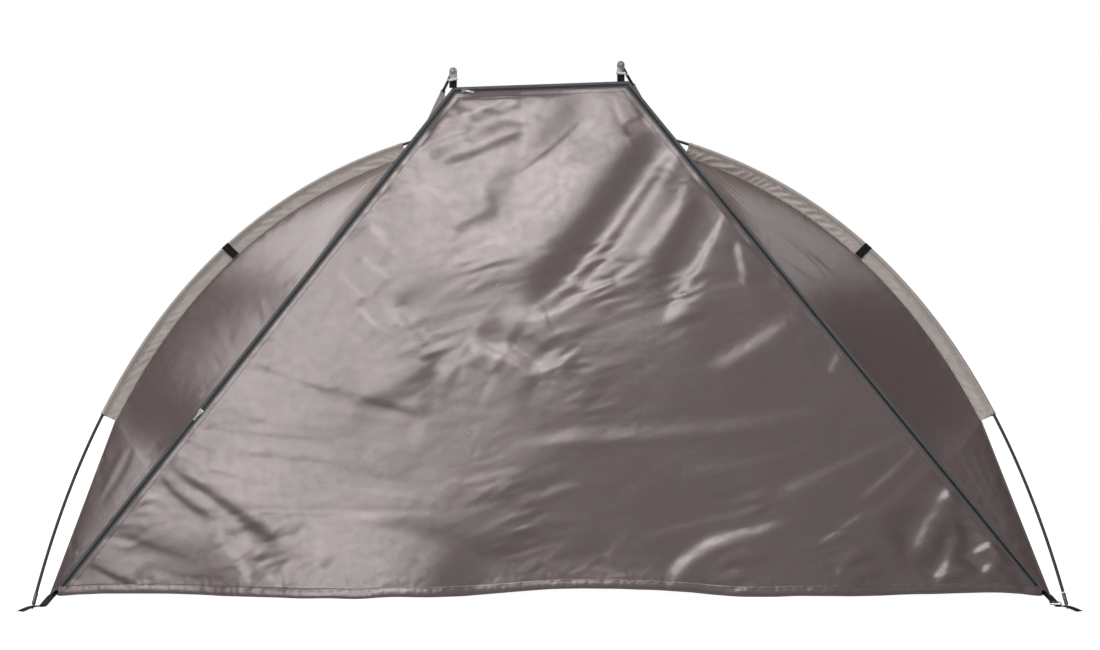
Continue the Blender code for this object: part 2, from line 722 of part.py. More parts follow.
def build():
    clear_scene()
    cloth = finish("taupe_polyester", (0.30, 0.25, 0.24), 0.38)
    sleeve_cloth = finish("pale_sleeve", (0.40, 0.38, 0.35), 0.5)
    floor_cloth = finish("groundsheet", (0.12, 0.11, 0.11), 0.5)
    tape = finish("zip_tape", (0.12, 0.125, 0.14), 0.6)
    webbing = finish("black_webbing", (0.02, 0.02, 0.022), 0.7)
    fibre = finish("fibre_rod", (0.05, 0.052, 0.055), 0.35)
    steel = finish("steel", (0.62, 0.62, 0.62), 0.3, 1.0)

    turn = Matrix.Rotation(math.pi / 2 - DOOR_LEAN, 4, "X")
    frame = Matrix.Translation(at(0, 0, HEM_RADIUS)) @ turn
    hinge = empty("door_fold_axis", frame)
    arch = arch_points()
    left_tip = frame @ Vector((*LEFT_TIP, 0))
    right_tip = frame @ Vector((*RIGHT_TIP, 0))
    rears = {"left": rear_points(-1, left_tip), "right": rear_points(1, right_tip)}
    build_poles(arch, rears, fibre, steel)
    floor_corners = build_fabric(arch, rears, frame, cloth, sleeve_cloth, floor_cloth)
    build_door(hinge, frame, cloth, tape, steel)
    build_top_fittings(rears, frame, steel, webbing)
    build_ground_straps(arch, rears, floor_corners, webbing, steel)
    build_hook_tabs(arch, webbing)


build()
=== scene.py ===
"""The looks of a beach tent with a zipped front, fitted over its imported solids.

Lengths are in metres. +X is to the right of someone who looks at the door, +Y runs from the door
towards the back, +Z is up, and the origin is on the ground in the middle of the floor.
"""

import math

import bmesh
import bpy
import numpy as np
from mathutils import Matrix, Vector


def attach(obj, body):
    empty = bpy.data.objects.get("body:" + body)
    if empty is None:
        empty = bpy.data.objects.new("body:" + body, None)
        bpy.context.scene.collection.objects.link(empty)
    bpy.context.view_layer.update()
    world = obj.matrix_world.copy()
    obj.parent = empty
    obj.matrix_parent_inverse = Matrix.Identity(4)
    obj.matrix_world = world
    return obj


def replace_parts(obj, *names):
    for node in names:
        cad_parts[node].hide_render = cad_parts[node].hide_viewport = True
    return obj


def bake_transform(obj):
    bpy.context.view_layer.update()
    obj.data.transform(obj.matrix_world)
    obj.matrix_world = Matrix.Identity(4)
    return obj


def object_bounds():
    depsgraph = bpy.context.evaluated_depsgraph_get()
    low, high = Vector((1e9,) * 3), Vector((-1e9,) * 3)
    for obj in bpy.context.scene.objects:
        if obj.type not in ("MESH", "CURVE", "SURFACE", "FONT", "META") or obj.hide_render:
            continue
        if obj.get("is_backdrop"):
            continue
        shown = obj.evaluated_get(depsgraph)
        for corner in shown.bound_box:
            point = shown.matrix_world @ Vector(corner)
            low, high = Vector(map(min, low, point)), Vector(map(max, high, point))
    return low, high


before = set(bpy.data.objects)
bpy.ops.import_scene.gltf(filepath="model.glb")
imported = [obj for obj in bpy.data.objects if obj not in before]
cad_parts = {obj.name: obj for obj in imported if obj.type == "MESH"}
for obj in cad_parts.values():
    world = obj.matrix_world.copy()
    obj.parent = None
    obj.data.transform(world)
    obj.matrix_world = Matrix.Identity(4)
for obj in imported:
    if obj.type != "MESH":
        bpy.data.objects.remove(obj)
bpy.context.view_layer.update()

# Camera
# It looks at the door from 4.93 m in front of the hem and 1.09 m above the ground, and tips down a
# little. The focal length is the photograph's, in pixels of its 1100 pixel width.
PHOTO_WIDTH_PIXELS = 1100
FOCAL_PIXELS = 1978
SENSOR_WIDTH = 36
CAMERA_PLACE = (0, -5.48, 1.085)
CAMERA_DIP = 4.6
camera_data = bpy.data.cameras.new("camera")
camera_data.sensor_width = SENSOR_WIDTH
camera_data.lens = SENSOR_WIDTH * FOCAL_PIXELS / PHOTO_WIDTH_PIXELS
camera = bpy.data.objects.new("camera", camera_data)
camera.location = CAMERA_PLACE
camera.rotation_euler = (math.radians(90 - CAMERA_DIP), 0, 0)
bpy.context.scene.collection.objects.link(camera)
bpy.context.scene.camera = camera
bpy.context.scene.view_settings.view_transform = "Standard"


# Light and floor
# A pale studio without edges. Three bright softboxes stand before the tent, a little to its left, and
# a wide weak one fills between them. Large ones light its left side, its top and its back.
TENT_MIDDLE = (0, -0.2, 0.6)
# The turn and rise of each in degrees from straight in front, its distance, its size and its radiance
SOFTBOXES = {
    "low_key": (-17, 21, 5.2, (1.4, 1.3), 2.15),
    "high_key": (-5, 36, 5.2, (1.5, 1.3), 3.2),
    "side_key": (-28, 18, 5.3, (1.4, 1.8), 0.7),
    "front_fill": (0, 22, 6.5, (7.0, 4.0), 0.16),
    "left_softbox": (-80, 28, 5.2, (2.8, 2.6), 1.3),
    "left_rear_softbox": (-131, 44, 5.2, (3.8, 3.4), 1.6),
    "right_rear_softbox": (126, 44, 5.2, (3.6, 3.0), 0.65),
    "ceiling_softbox": (0, 80, 4.8, (3.2, 3.2), 1.4),
    "back_softbox": (180, 30, 5.0, (3.0, 3.0), 0.9),
}
FLOOR_SIZE = 60
WHITE = (1, 1, 1, 1)


def node(tree, kind, inputs=(), **settings):
    """A node with its settings, each input linked where its value is a socket and set where it is plain."""
    made = tree.nodes.new(kind)
    for key, value in settings.items():
        setattr(made, key, value)
    for key, value in dict(inputs).items():
        if isinstance(value, bpy.types.NodeSocket):
            tree.links.new(value, made.inputs[key])
        else:
            made.inputs[key].default_value = value
    return made


def mesh_from(bm):
    """A mesh from a bmesh, which is freed."""
    mesh = bpy.data.meshes.new("mesh")
    bm.to_mesh(mesh)
    bm.free()
    return mesh


def new_finish(name, inputs):
    """A new material, its node tree and its shader, with plain values for some of the shader's inputs."""
    material = bpy.data.materials.new(name)
    material.use_nodes = True
    shader = material.node_tree.nodes["Principled BSDF"]
    for label, value in dict(inputs).items():
        shader.inputs[label].default_value = value
    return material, material.node_tree, shader


for name, (azimuth, elevation, distance, size, radiance) in SOFTBOXES.items():
    turn, rise = math.radians(azimuth), math.radians(elevation)
    way = Vector((math.sin(turn) * math.cos(rise), -math.cos(turn) * math.cos(rise), math.sin(rise)))
    light = bpy.data.lights.new(name, "AREA")
    light.shape = "RECTANGLE"
    light.size, light.size_y = size
    light.energy = radiance * math.pi * size[0] * size[1]
    box = bpy.data.objects.new(name, light)
    box.location = Vector(TENT_MIDDLE) + way * distance
    box.rotation_euler = (-way).to_track_quat("-Z", "Y").to_euler()
    box.visible_camera = False
    bpy.context.scene.collection.objects.link(box)

world = bpy.data.worlds.new("studio")
world.use_nodes = True
sky = world.node_tree
sky.nodes.clear()
seen = node(sky, "ShaderNodeBackground", {"Color": WHITE, "Strength": 1.0}).outputs[0]
ambient = node(sky, "ShaderNodeBackground", {"Color": (0.96, 0.98, 1, 1), "Strength": 0.08}).outputs[0]
camera_ray = node(sky, "ShaderNodeLightPath").outputs["Is Camera Ray"]
background = node(sky, "ShaderNodeMixShader", {0: camera_ray, 1: ambient, 2: seen}).outputs[0]
node(sky, "ShaderNodeOutputWorld", {"Surface": background})
bpy.context.scene.world = world

floor_bm = bmesh.new()
bmesh.ops.create_grid(floor_bm, x_segments=2, y_segments=2, size=FLOOR_SIZE / 2)
floor_mesh = mesh_from(floor_bm)
floor = bpy.data.objects.new("studio_floor", floor_mesh)
bpy.context.scene.collection.objects.link(floor)
PAPER = {
    "Base Color": (0.5, 0.5, 0.5, 1),
    "Roughness": 0.9,
    "Specular IOR Level": 0.1,
    "Emission Color": WHITE,
}
floor_paper, tree, shader = new_finish("pale_paper", PAPER)
camera_ray = node(tree, "ShaderNodeLightPath").outputs["Is Camera Ray"]
glow = node(tree, "ShaderNodeMapRange", {"Value": camera_ray, "To Min": 0.05, "To Max": 0.985})
tree.links.new(glow.outputs[0], shader.inputs["Emission Strength"])
floor_mesh.materials.append(floor_paper)
floor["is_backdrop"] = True


# Poles
# Glass fibre rods of equal length, plugged into each other through short steel ferrules. The front
# one bows over the tent from foot to foot, the rear two run from the door's top to the back corners.
ORIGIN_BEHIND_HEM = 0.55
HEM_RADIUS = 0.003
DOOR_LEAN = math.radians(15)
BEZIER_POINTS = 300
# The front pole: the plane it stands in, and the bend of each half from its foot to its top
ARCH_FOOT_BEHIND_HEM = -0.15
ARCH_LEAN = math.radians(32)
ARCH_HALF_SPAN = 1.2706
ARCH_HEIGHT = 1.4245
ARCH_FOOT_TURN_IN = 0.129
ARCH_FOOT_HANDLE = 1.319
ARCH_TOP_HANDLE = 0.2505
ARCH_TOP_SHIFT = -0.012
ARCH_STATIONS = 31
ARCH_FINE = 14
# The rear poles: their feet, their tips in the door's plane, and their bend between
REAR_FOOT = (0.66, 1.16)
LEFT_TIP = (-0.257, 1.380)
RIGHT_TIP = (0.188, 1.3975)
REAR_TIP_SLOPE = math.radians(36.5)
REAR_FOOT_SLOPE = math.radians(82)
REAR_TIP_HANDLE = 0.62
REAR_FOOT_HANDLE = 0.55
REAR_STATIONS = 20
REAR_FINE = 22
# The rods of the poles and their ferrules
POLE_RADIUS = 0.00395
ROD_BEHIND_END = 0.0438
ROD_STEP = 0.012
FERRULE_RADIUS = 0.0046
FERRULE_LENGTH = 0.075
FERRULE_LIP = 0.0005
FERRULE_RINGS = 9
ARCH_RODS = 7
REAR_RODS = 4
RIGHT = np.array((1.0, 0.0, 0.0))
UP = np.array((0.0, 0.0, 1.0))


def at(across, behind_hem, up):
    """A point by its distance from the middle, behind the hem of the door, and above the ground."""
    return np.array((across, behind_hem - ORIGIN_BEHIND_HEM, up), float)


def unit(vectors):
    """Vectors brought to length one."""
    return vectors / np.linalg.norm(vectors, axis=-1, keepdims=True)


def reached(points):
    """How far along a chain each of its points is."""
    steps = np.linalg.norm(np.diff(points, axis=0), axis=1)
    return np.concatenate(([0.0], np.cumsum(steps)))


def along(points, lengths, values=None):
    """The points of a chain at these lengths along it, or other values that its points carry."""
    marks = reached(points)
    values = points if values is None else values
    return np.stack([np.interp(lengths, marks, column) for column in values.T], axis=1)


def respaced(points, count):
    """The same chain with count equal stretches."""
    return along(points, np.linspace(0, reached(points)[-1], count + 1))


def bezier(start, first, second, end):
    """Points on a curve from start to end, which two handles draw out."""
    share = np.linspace(0, 1, BEZIER_POINTS)[:, None]
    rest = 1 - share
    return rest**3 * start + 3 * rest**2 * share * first + 3 * rest * share**2 * second + share**3 * end


def arch_curve():
    """The front pole from its left foot to its right foot."""
    foot = np.array((ARCH_HALF_SPAN, 0))
    turn_in = np.array((-math.sin(ARCH_FOOT_TURN_IN), math.cos(ARCH_FOOT_TURN_IN)))
    top = np.array((0, ARCH_HEIGHT))
    curve = bezier(foot, foot + turn_in * ARCH_FOOT_HANDLE, top + (ARCH_TOP_HANDLE, 0), top)
    half = respaced(curve, ARCH_STATIONS * ARCH_FINE)
    flat = np.vstack((half * (-1, 1), half[-2::-1]))
    flat[:, 0] += ARCH_TOP_SHIFT * flat[:, 1] / ARCH_HEIGHT
    lean = np.array((0, math.sin(ARCH_LEAN), math.cos(ARCH_LEAN)))
    return at(0, ARCH_FOOT_BEHIND_HEM, 0) + flat[:, :1] * RIGHT + flat[:, 1:] * lean


def rear_curve(side, start):
    """A rear pole from its tip at the door's top corner down to its foot."""
    foot = at(side * REAR_FOOT[0], REAR_FOOT[1], 0)
    level = unit((foot - start) * (1, 1, 0))
    leave = level * math.cos(REAR_TIP_SLOPE) - UP * math.sin(REAR_TIP_SLOPE)
    arrive = level * math.cos(REAR_FOOT_SLOPE) - UP * math.sin(REAR_FOOT_SLOPE)
    curve = bezier(start, start + leave * REAR_TIP_HANDLE, foot - arrive * REAR_FOOT_HANDLE, foot)
    return respaced(curve, REAR_STATIONS * REAR_FINE)


DOOR_ORIGIN = at(0, 0, HEM_RADIUS)
DOOR_UP = np.array((0, math.sin(DOOR_LEAN), math.cos(DOOR_LEAN)))
DOOR_OUT = np.array((0, -math.cos(DOOR_LEAN), math.sin(DOOR_LEAN)))


def in_door_plane(across, up, out=0.0):
    """Points by how far they are across, up and out from the plane of the closed door."""
    place = DOOR_ORIGIN + np.multiply.outer(across, RIGHT)
    return place + np.multiply.outer(up, DOOR_UP) + np.multiply.outer(out, DOOR_OUT)


arch = arch_curve()
rears = {
    "left": rear_curve(-1, in_door_plane(*LEFT_TIP)),
    "right": rear_curve(1, in_door_plane(*RIGHT_TIP)),
}


def corners_of(mesh):
    """The places of a mesh's corners."""
    flat = np.empty(len(mesh.vertices) * 3, np.float32)
    mesh.vertices.foreach_get("co", flat)
    return flat.reshape(-1, 3)


def lay_out(mesh, lay):
    """Gives a mesh the cloth's own coordinates in metres, one pair for each corner, as its UV map."""
    corner = np.empty(len(mesh.loops), np.int32)
    mesh.loops.foreach_get("vertex_index", corner)
    layer = mesh.uv_layers.new(name="cloth")
    layer.uv.foreach_set("vector", lay[corner].astype(np.float32).ravel())


def mesh_through(places, lay, closed=False, capped=False):
    """A mesh through rows of places, with the cloth's own coordinates. A tube is closed and capped."""
    rows, columns = places.shape[0] - 1, places.shape[1] - 1
    bm = bmesh.new()
    bmesh.ops.create_grid(bm, x_segments=rows, y_segments=columns, size=0.5)
    mesh = mesh_from(bm)
    flat = corners_of(mesh)
    row = np.rint((flat[:, 0] + 0.5) * rows).astype(int)
    column = np.rint((flat[:, 1] + 0.5) * columns).astype(int)
    mesh.vertices.foreach_set("co", places[row, column].astype(np.float32).ravel())
    lay_out(mesh, lay[row, column])
    if closed:
        bm = bmesh.new()
        bm.from_mesh(mesh)
        bmesh.ops.remove_doubles(bm, verts=bm.verts, dist=1e-5)
        if capped:
            bmesh.ops.holes_fill(bm, edges=bm.edges, sides=0)
        bmesh.ops.recalc_face_normals(bm, faces=bm.faces)
        bm.to_mesh(mesh)
        bm.free()
    mesh.update()
    return mesh


def square_to(path, out):
    """Directions turned so that they are square to a path, and brought to length one."""
    tangent = unit(np.gradient(path, axis=0))
    return unit(out - tangent * np.sum(out * tangent, axis=1, keepdims=True))


def swept(path, out, outline):
    """Places and cloth coordinates of an outline carried along a path. out turns its first axis."""
    out = square_to(path, out)
    aside = np.cross(unit(np.gradient(path, axis=0)), out)
    outline = np.broadcast_to(outline, (len(path), *np.shape(outline)[-2:]))
    places = path[:, None] + outline[..., :1] * out[:, None] + outline[..., 1:] * aside[:, None]
    lay = np.empty((*places.shape[:2], 2))
    lay[..., 0] = reached(outline[0])
    lay[..., 1] = reached(path)[:, None]
    return places, lay


def bar_along(path, out, outline):
    """A solid bar or strap of an outline along a path, with its ends closed."""
    out = np.broadcast_to(out, np.shape(path))
    return mesh_through(*swept(path, out, outline), closed=True, capped=True)


def add_piece(name, mesh, material, slot, body="tent", sharp_angle=40):
    """A visible piece that moves with a body and takes the given finish. The slot is not used."""
    mesh.name = name
    mesh.materials.clear()
    mesh.materials.append(material)
    mesh.shade_smooth()
    mesh.set_sharp_from_angle(angle=math.radians(sharp_angle))
    item = bpy.data.objects.new(name, mesh)
    bpy.context.scene.collection.objects.link(item)
    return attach(item, body) if body else item


def circle(radius, count=16):
    """A round outline that ends where it starts."""
    turn = np.linspace(0, 2 * math.pi, count + 1)
    return radius * np.stack((np.cos(turn), np.sin(turn)), axis=1)


def inwards(pole, behind=0.0):
    """From each point of a bent pole towards a point well inside its curve, or some way behind that."""
    return (pole[0] + pole[-1]) / 2 + (0, behind, 0) - pole


def joined(meshes):
    """Several meshes as one."""
    bm = bmesh.new()
    for mesh in meshes:
        bm.from_mesh(mesh)
        bpy.data.meshes.remove(mesh)
    return mesh_from(bm)


def new_group(name, inputs, outputs):
    """An empty shader group and the sockets of its inputs. The first is a vector, all others are values."""
    group = bpy.data.node_groups.new(name, "ShaderNodeTree")
    group.interface.new_socket(inputs[0], in_out="INPUT", socket_type="NodeSocketVector")
    for label in inputs[1:]:
        group.interface.new_socket(label, in_out="INPUT", socket_type="NodeSocketFloat")
    for label in outputs:
        group.interface.new_socket(label, in_out="OUTPUT", socket_type="NodeSocketFloat")
    return group, group.nodes.new("NodeGroupInput").outputs


def maths(tree, operation, *values):
    """The result of a sum or a product, or of another operation, on plain values and sockets."""
    return node(tree, "ShaderNodeMath", dict(enumerate(values)), operation=operation).outputs[0]


def ranged(tree, value, low, high):
    """A value from 0 to 1 brought between two others."""
    return node(tree, "ShaderNodeMapRange", {"Value": value, "To Min": low, "To Max": high}).outputs[0]


def share_of(tree, value, low, high=1.0):
    """0 where a value is low, 1 where it is high, and even between."""
    return node(tree, "ShaderNodeMapRange", {"Value": value, "From Min": low, "From Max": high}).outputs[0]


def cloudiness_group():
    """Soft stains and handling marks: one tone from 0 to 1, made of a slow and a fine one."""
    group, start = new_group("cloudiness", ("Place", "Slow", "Fine"), ("Tone",))
    tones = []
    for label in ("Slow", "Fine"):
        waves = {"Vector": start["Place"], "Scale": start[label], "Detail": 3.0}
        tones.append(node(group, "ShaderNodeTexNoise", waves).outputs["Fac"])
    node(group, "NodeGroupOutput", {"Tone": share_of(group, maths(group, "ADD", *tones), 0.7, 1.3)})
    return group


cloudiness = cloudiness_group()


def cloudy(tree, place, waves):
    """The tone of stains and marks at a place, with its slow and its fine waves per metre."""
    inputs = {"Place": place, "Slow": waves[0], "Fine": waves[1]}
    return node(tree, "ShaderNodeGroup", inputs, node_tree=cloudiness).outputs["Tone"]


def on_object(tree):
    """The place on the piece as it stands."""
    return node(tree, "ShaderNodeTexCoord").outputs["Object"]


def on_cloth(tree):
    """The place on the cloth as it was cut."""
    return node(tree, "ShaderNodeUVMap", uv_map="cloth").outputs[0]


def along_fibres(tree):
    """The place on a rod, drawn out into thin lines along it."""
    return node(tree, "ShaderNodeMapping", {"Vector": on_cloth(tree), "Scale": (2400, 12, 1)}).outputs[0]


def coloured(tree, shader, share, colours):
    """The shader's colour, between two by a share."""
    inputs = {0: share, 6: (*colours[0], 1), 7: (*colours[1], 1)}
    mix = node(tree, "ShaderNodeMix", inputs, data_type="RGBA")
    tree.links.new(mix.outputs[2], shader.inputs["Base Color"])


def bumped(tree, shader, height, depth, strength=1.0):
    """The shader's normal, from a height that is depth metres at 1."""
    bump = node(tree, "ShaderNodeBump", {"Height": height, "Distance": depth, "Strength": strength})
    tree.links.new(bump.outputs[0], shader.inputs["Normal"])


def clouded_finish(name, place, waves, colours, gloss, inputs=()):
    """A finish whose colour and roughness drift between two values each, and the tone that moves them."""
    material, tree, shader = new_finish(name, inputs)
    tone = cloudy(tree, place(tree), waves)
    coloured(tree, shader, tone, colours)
    tree.links.new(ranged(tree, tone, *gloss), shader.inputs["Roughness"])
    return material, tree, shader, tone


def plated_steel(name, colours, gloss):
    """Plated steel with a cloudy gloss and fine marks."""
    finish = clouded_finish(name, on_object, (60.0, 900.0), colours, gloss, {"Metallic": 1.0})
    material, tree, shader, tone = finish
    bumped(tree, shader, tone, 0.0001, 0.3)
    return material


def drawn_fibre():
    """Pulled glass fibre: a dark satin resin with fine lines along it, rubbed paler in places."""
    colours = (0.050, 0.052, 0.056), (0.130, 0.133, 0.138)
    finish = clouded_finish("drawn_glass_fibre", along_fibres, (1.0, 2.3), colours, (0.28, 0.46))
    material, tree, shader, tone = finish
    bumped(tree, shader, tone, 0.0001, 0.3)
    return material


fibre = drawn_fibre()
steel = plated_steel("plated_steel", ((0.20, 0.20, 0.20), (0.36, 0.36, 0.35)), (0.25, 0.42))
for name, node_name, pole, rods in (
    ("arch_rod", "arch_pole", arch, ARCH_RODS),
    ("left_rear_rod", "left_rear_pole", rears["left"], REAR_RODS),
    ("right_rear_rod", "right_rear_pole", rears["right"], REAR_RODS),
):
    length = reached(pole)[-1]
    path = along(pole, np.arange(ROD_BEHIND_END, length - ROD_BEHIND_END, ROD_STEP))
    rod = add_piece(name, bar_along(path, inwards(path), circle(POLE_RADIUS)), fibre, "fibre_rod")
    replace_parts(rod, node_name)
    half = FERRULE_LENGTH / 2
    inner = np.linspace(FERRULE_LIP - half, half - FERRULE_LIP, FERRULE_RINGS)
    marks = np.concatenate(((-half,), inner, (half,)))
    radii = np.full(len(marks), FERRULE_RADIUS)
    radii[[0, -1]] -= FERRULE_LIP
    outlines = circle(1.0) * radii[:, None, None]
    ferrules = []
    for joint in range(1, rods):
        ferrules.append(bar_along(along(pole, length * joint / rods + marks), inwards(pole)[0], outlines))
    add_piece(name + "_ferrules", joined(ferrules), steel, "steel")


# Pole ends
# Turned steel caps glued over the ends of the rods, each with a rolled groove and a thin nib that
# stands in the eyelet of a strap or a plate.
NIB_RADIUS = 0.002
NIB_LENGTH = 0.012
NIB_GROUND_GAP = 0.0015
NIB_PAST_PLATE = 0.006
CAP_RADIUS = 0.0048
CAP_LENGTH = 0.030
CAP_EDGE = 0.0007
GROOVE_START = 0.009
GROOVE_WIDTH = 0.003
SPUN_SIDES = 24
DOME_STEPS = 5


def spun(start, direction, profile):
    """A mesh turned round an axis from pairs of radius and length."""
    bm = bmesh.new()
    corners = [bm.verts.new((radius, 0, length)) for radius, length in profile]
    edges = [bm.edges.new(pair) for pair in zip(corners, corners[1:])]
    geom = corners + edges
    bmesh.ops.spin(bm, geom=geom, cent=(0, 0, 0), axis=UP, angle=math.tau, steps=SPUN_SIDES, use_merge=True)
    bmesh.ops.remove_doubles(bm, verts=bm.verts, dist=1e-6)
    bmesh.ops.recalc_face_normals(bm, faces=bm.faces)
    place = Matrix.Translation(Vector(start)) @ Vector(direction).to_track_quat("Z", "Y").to_matrix().to_4x4()
    bmesh.ops.transform(bm, matrix=place, verts=bm.verts)
    return mesh_from(bm)


def dome(radius, height):
    """Pairs of radius and length from the top of a dome down to its rim."""
    turns = [math.radians(90 * step / DOME_STEPS) for step in range(DOME_STEPS + 1)]
    return [(radius * math.sin(turn), height * (1 - math.cos(turn))) for turn in turns]


def cap_profile(nib_start):
    """The nib's dome and shank, the shoulder, the rolled groove and the closed end of the cap."""
    shoulder = nib_start + NIB_LENGTH
    end = shoulder + CAP_LENGTH
    groove = shoulder + GROOVE_START
    waist = CAP_RADIUS - CAP_EDGE
    return [(radius, nib_start + length) for radius, length in dome(NIB_RADIUS, NIB_RADIUS)] + [
        (NIB_RADIUS, shoulder),
        (waist, shoulder),
        (CAP_RADIUS, shoulder + CAP_EDGE),
        (CAP_RADIUS, groove),
        (waist, groove + CAP_EDGE),
        (waist, groove + GROOVE_WIDTH - CAP_EDGE),
        (CAP_RADIUS, groove + GROOVE_WIDTH),
        (CAP_RADIUS, end - CAP_EDGE),
        (waist, end),
        (0, end),
    ]


pole_ends = {
    "left_arch_foot": (arch[0], arch[ARCH_FINE], NIB_GROUND_GAP),
    "right_arch_foot": (arch[-1], arch[-1 - ARCH_FINE], NIB_GROUND_GAP),
}
for side, pole in rears.items():
    pole_ends[f"{side}_top_tip"] = (pole[0], pole[REAR_FINE], -NIB_PAST_PLATE)
    pole_ends[f"{side}_rear_foot"] = (pole[-1], pole[-1 - REAR_FINE], NIB_GROUND_GAP)
for name, (start, towards, nib_start) in pole_ends.items():
    cap = spun(start, towards - start, cap_profile(nib_start))
    piece_name = name.replace("foot", "cap").replace("tip", "cap")
    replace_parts(add_piece(piece_name, cap, steel, "steel"), name)


# Sleeves
# Pale polyester channels that hold the poles. Each is a strip folded round its rod, stitched
# together beside it and again into the canopy's seam. The thread draws the strip up into slanting
# puckers, which are deepest on the right of the front pole.
LATTICE = 64
SLEEVE_RADIUS = 0.0056
SLEEVE_WIDTH = 0.037
SLEEVE_LAYERS = 0.0014
SLEEVE_NECK = 0.0115
SLEEVE_CLOTH = 0.0004
SLEEVE_HEM = 0.010
SLEEVE_PITCH = 0.0052
SLEEVE_LAYER_POINTS = 13
SLEEVE_ROUND_POINTS = 15
SLEEVE_GAP = 40
HEM_STEP = 0.0005
HEM_EDGE = 0.0006
STITCHED_POINTS = (1, 11)
ARCH_SLEEVE_STATIONS = (8, 25)
ARCH_SLEEVE_BEHIND = 0.40
REAR_SLEEVE_STATIONS = (1, 19)
PUCKER_PITCH = 0.029
PUCKER_SLANT = 0.9
PUCKER_DEPTHS = {
    "left_arch": (0.0014, 0.0022),
    "right_arch": (0.0012, 0.0065),
    "left_rear": (0.0012, 0.0012),
    "right_rear": (0.0012, 0.0012),
}
CRINKLE = 0.0008
CRINKLE_PITCH = 0.012
EDGE_WAVE = 0.0006
EDGE_WAVE_PITCH = 0.017
STITCH_PITCH = 0.0042
STITCH_SHARE = 0.7
THREAD = 0.00045


def soft_step(value):
    """0 below 0, 1 above 1, and a smooth rise between."""
    value = np.clip(value, 0, 1)
    return value * value * (3 - 2 * value)


def ripples(across, up, seed):
    """Soft random waves from -1 to 1, about one for each unit across and up.

    A call divides each length by the size of its waves, and what it adds only shifts them.
    """
    lattice = np.random.default_rng(seed).uniform(-1, 1, (LATTICE, LATTICE))
    column, row = np.floor(across).astype(int), np.floor(up).astype(int)
    right, above = soft_step(across - column), soft_step(up - row)
    levels = []
    for level in (row, row + 1):
        first = lattice[column % LATTICE, level % LATTICE]
        levels.append(first + (lattice[(column + 1) % LATTICE, level % LATTICE] - first) * right)
    return levels[0] + (levels[1] - levels[0]) * above


def uneven(run, pitch, seed):
    """Soft random waves from -1 to 1 along one length only."""
    return ripples(run / pitch, 0 * run, seed)


def seam_beside(pole, behind=0.0):
    """The seam that a sleeve is sewn to, a sleeve's width from its pole towards the inside."""
    return pole + square_to(pole, inwards(pole, behind)) * SLEEVE_WIDTH


def sleeve_outline():
    """From the seam out along one layer, round the pole, and back along the other layer."""
    tail = np.linspace(SLEEVE_WIDTH, SLEEVE_NECK, SLEEVE_LAYER_POINTS)
    turn = np.radians(np.linspace(SLEEVE_GAP, 360 - SLEEVE_GAP, SLEEVE_ROUND_POINTS))
    front = np.stack((tail, 0 * tail + SLEEVE_LAYERS / 2), axis=1)
    tube = SLEEVE_RADIUS * np.stack((np.cos(turn), np.sin(turn)), axis=1)
    return np.vstack((front, tube, front[::-1] * (1, -1), front[:1]))


def copies(template, spots, axes):
    """One mesh of many copies of a small one, each at its spot and stretched along its own three axes."""
    bm = bmesh.new()
    for _ in spots:
        bm.from_mesh(template, face_normals=False, vertex_normals=False)
    mesh = mesh_from(bm)
    places = spots[:, None] + corners_of(template).astype(float) @ axes
    mesh.vertices.foreach_set("co", places.astype(np.float32).ravel())
    mesh.update()
    return mesh


def beads(rows):
    """Thread stitches along rows of a path and its outward direction, each a small bead of twenty faces."""
    bm = bmesh.new()
    bmesh.ops.create_icosphere(bm, subdivisions=1, radius=1.0)
    bead = mesh_from(bm)
    spots = []
    axes = []
    for path, out in rows:
        marks = np.arange(STITCH_PITCH, reached(path)[-1] - STITCH_PITCH, STITCH_PITCH)
        starts, ends = along(path, marks), along(path, marks + STITCH_PITCH * STITCH_SHARE)
        lift = unit(along(path, marks, out))
        aside = unit(np.cross(lift, ends - starts))
        spots.append((starts + ends) / 2)
        axes.append(np.stack(((ends - starts) / 2, aside * THREAD, lift * THREAD), axis=1))
    return copies(bead, np.concatenate(spots), np.concatenate(axes))


def weave_group():
    """Plain weave: its height, and the faint grid of heavier threads that stops a tear."""
    group, start = new_group("plain_weave", ("Lay", "Threads", "Checks"), ("Height", "Grid"))
    ends = {}
    for label, scale, join in (("Height", "Threads", "MULTIPLY"), ("Grid", "Checks", "MAXIMUM")):
        inputs = {0: start["Lay"], "Scale": start[scale]}
        scaled = node(group, "ShaderNodeVectorMath", inputs, operation="SCALE").outputs[0]
        split = node(group, "ShaderNodeSeparateXYZ", {0: scaled}).outputs
        waves = []
        for axis in ("X", "Y"):
            wave = maths(group, "SINE", maths(group, "MULTIPLY", split[axis], math.tau))
            waves.append(share_of(group, wave, 0.75) if label == "Grid" else wave)
        ends[label] = maths(group, join, *waves)
    node(group, "NodeGroupOutput", ends)
    return group


def creases_group():
    """Faint creases of handled cloth: the height of soft cones that meet in sharp lines, in patches."""
    group, start = new_group("faint_creases", ("Lay", "Depth"), ("Height",))
    bend = {"Vector": start["Lay"], "Scale": 30.0, "Detail": 0.0}
    bend = node(group, "ShaderNodeTexNoise", bend).outputs["Color"]
    moved = {0: bend, 1: (0.005, 0.005, 0.0), 2: start["Lay"]}
    moved = node(group, "ShaderNodeVectorMath", moved, operation="MULTIPLY_ADD").outputs[0]
    cones = node(group, "ShaderNodeTexVoronoi", {"Vector": moved, "Scale": 40.0}).outputs["Distance"]
    patches = node(group, "ShaderNodeTexNoise", {"Vector": start["Lay"], "Scale": 7.0}).outputs["Fac"]
    there = maths(group, "MULTIPLY", share_of(group, cones, 0.2), share_of(group, patches, 0.4, 0.65))
    node(group, "NodeGroupOutput", {"Height": maths(group, "MULTIPLY", there, start["Depth"])})
    return group


plain_weave = weave_group()
faint_creases = creases_group()


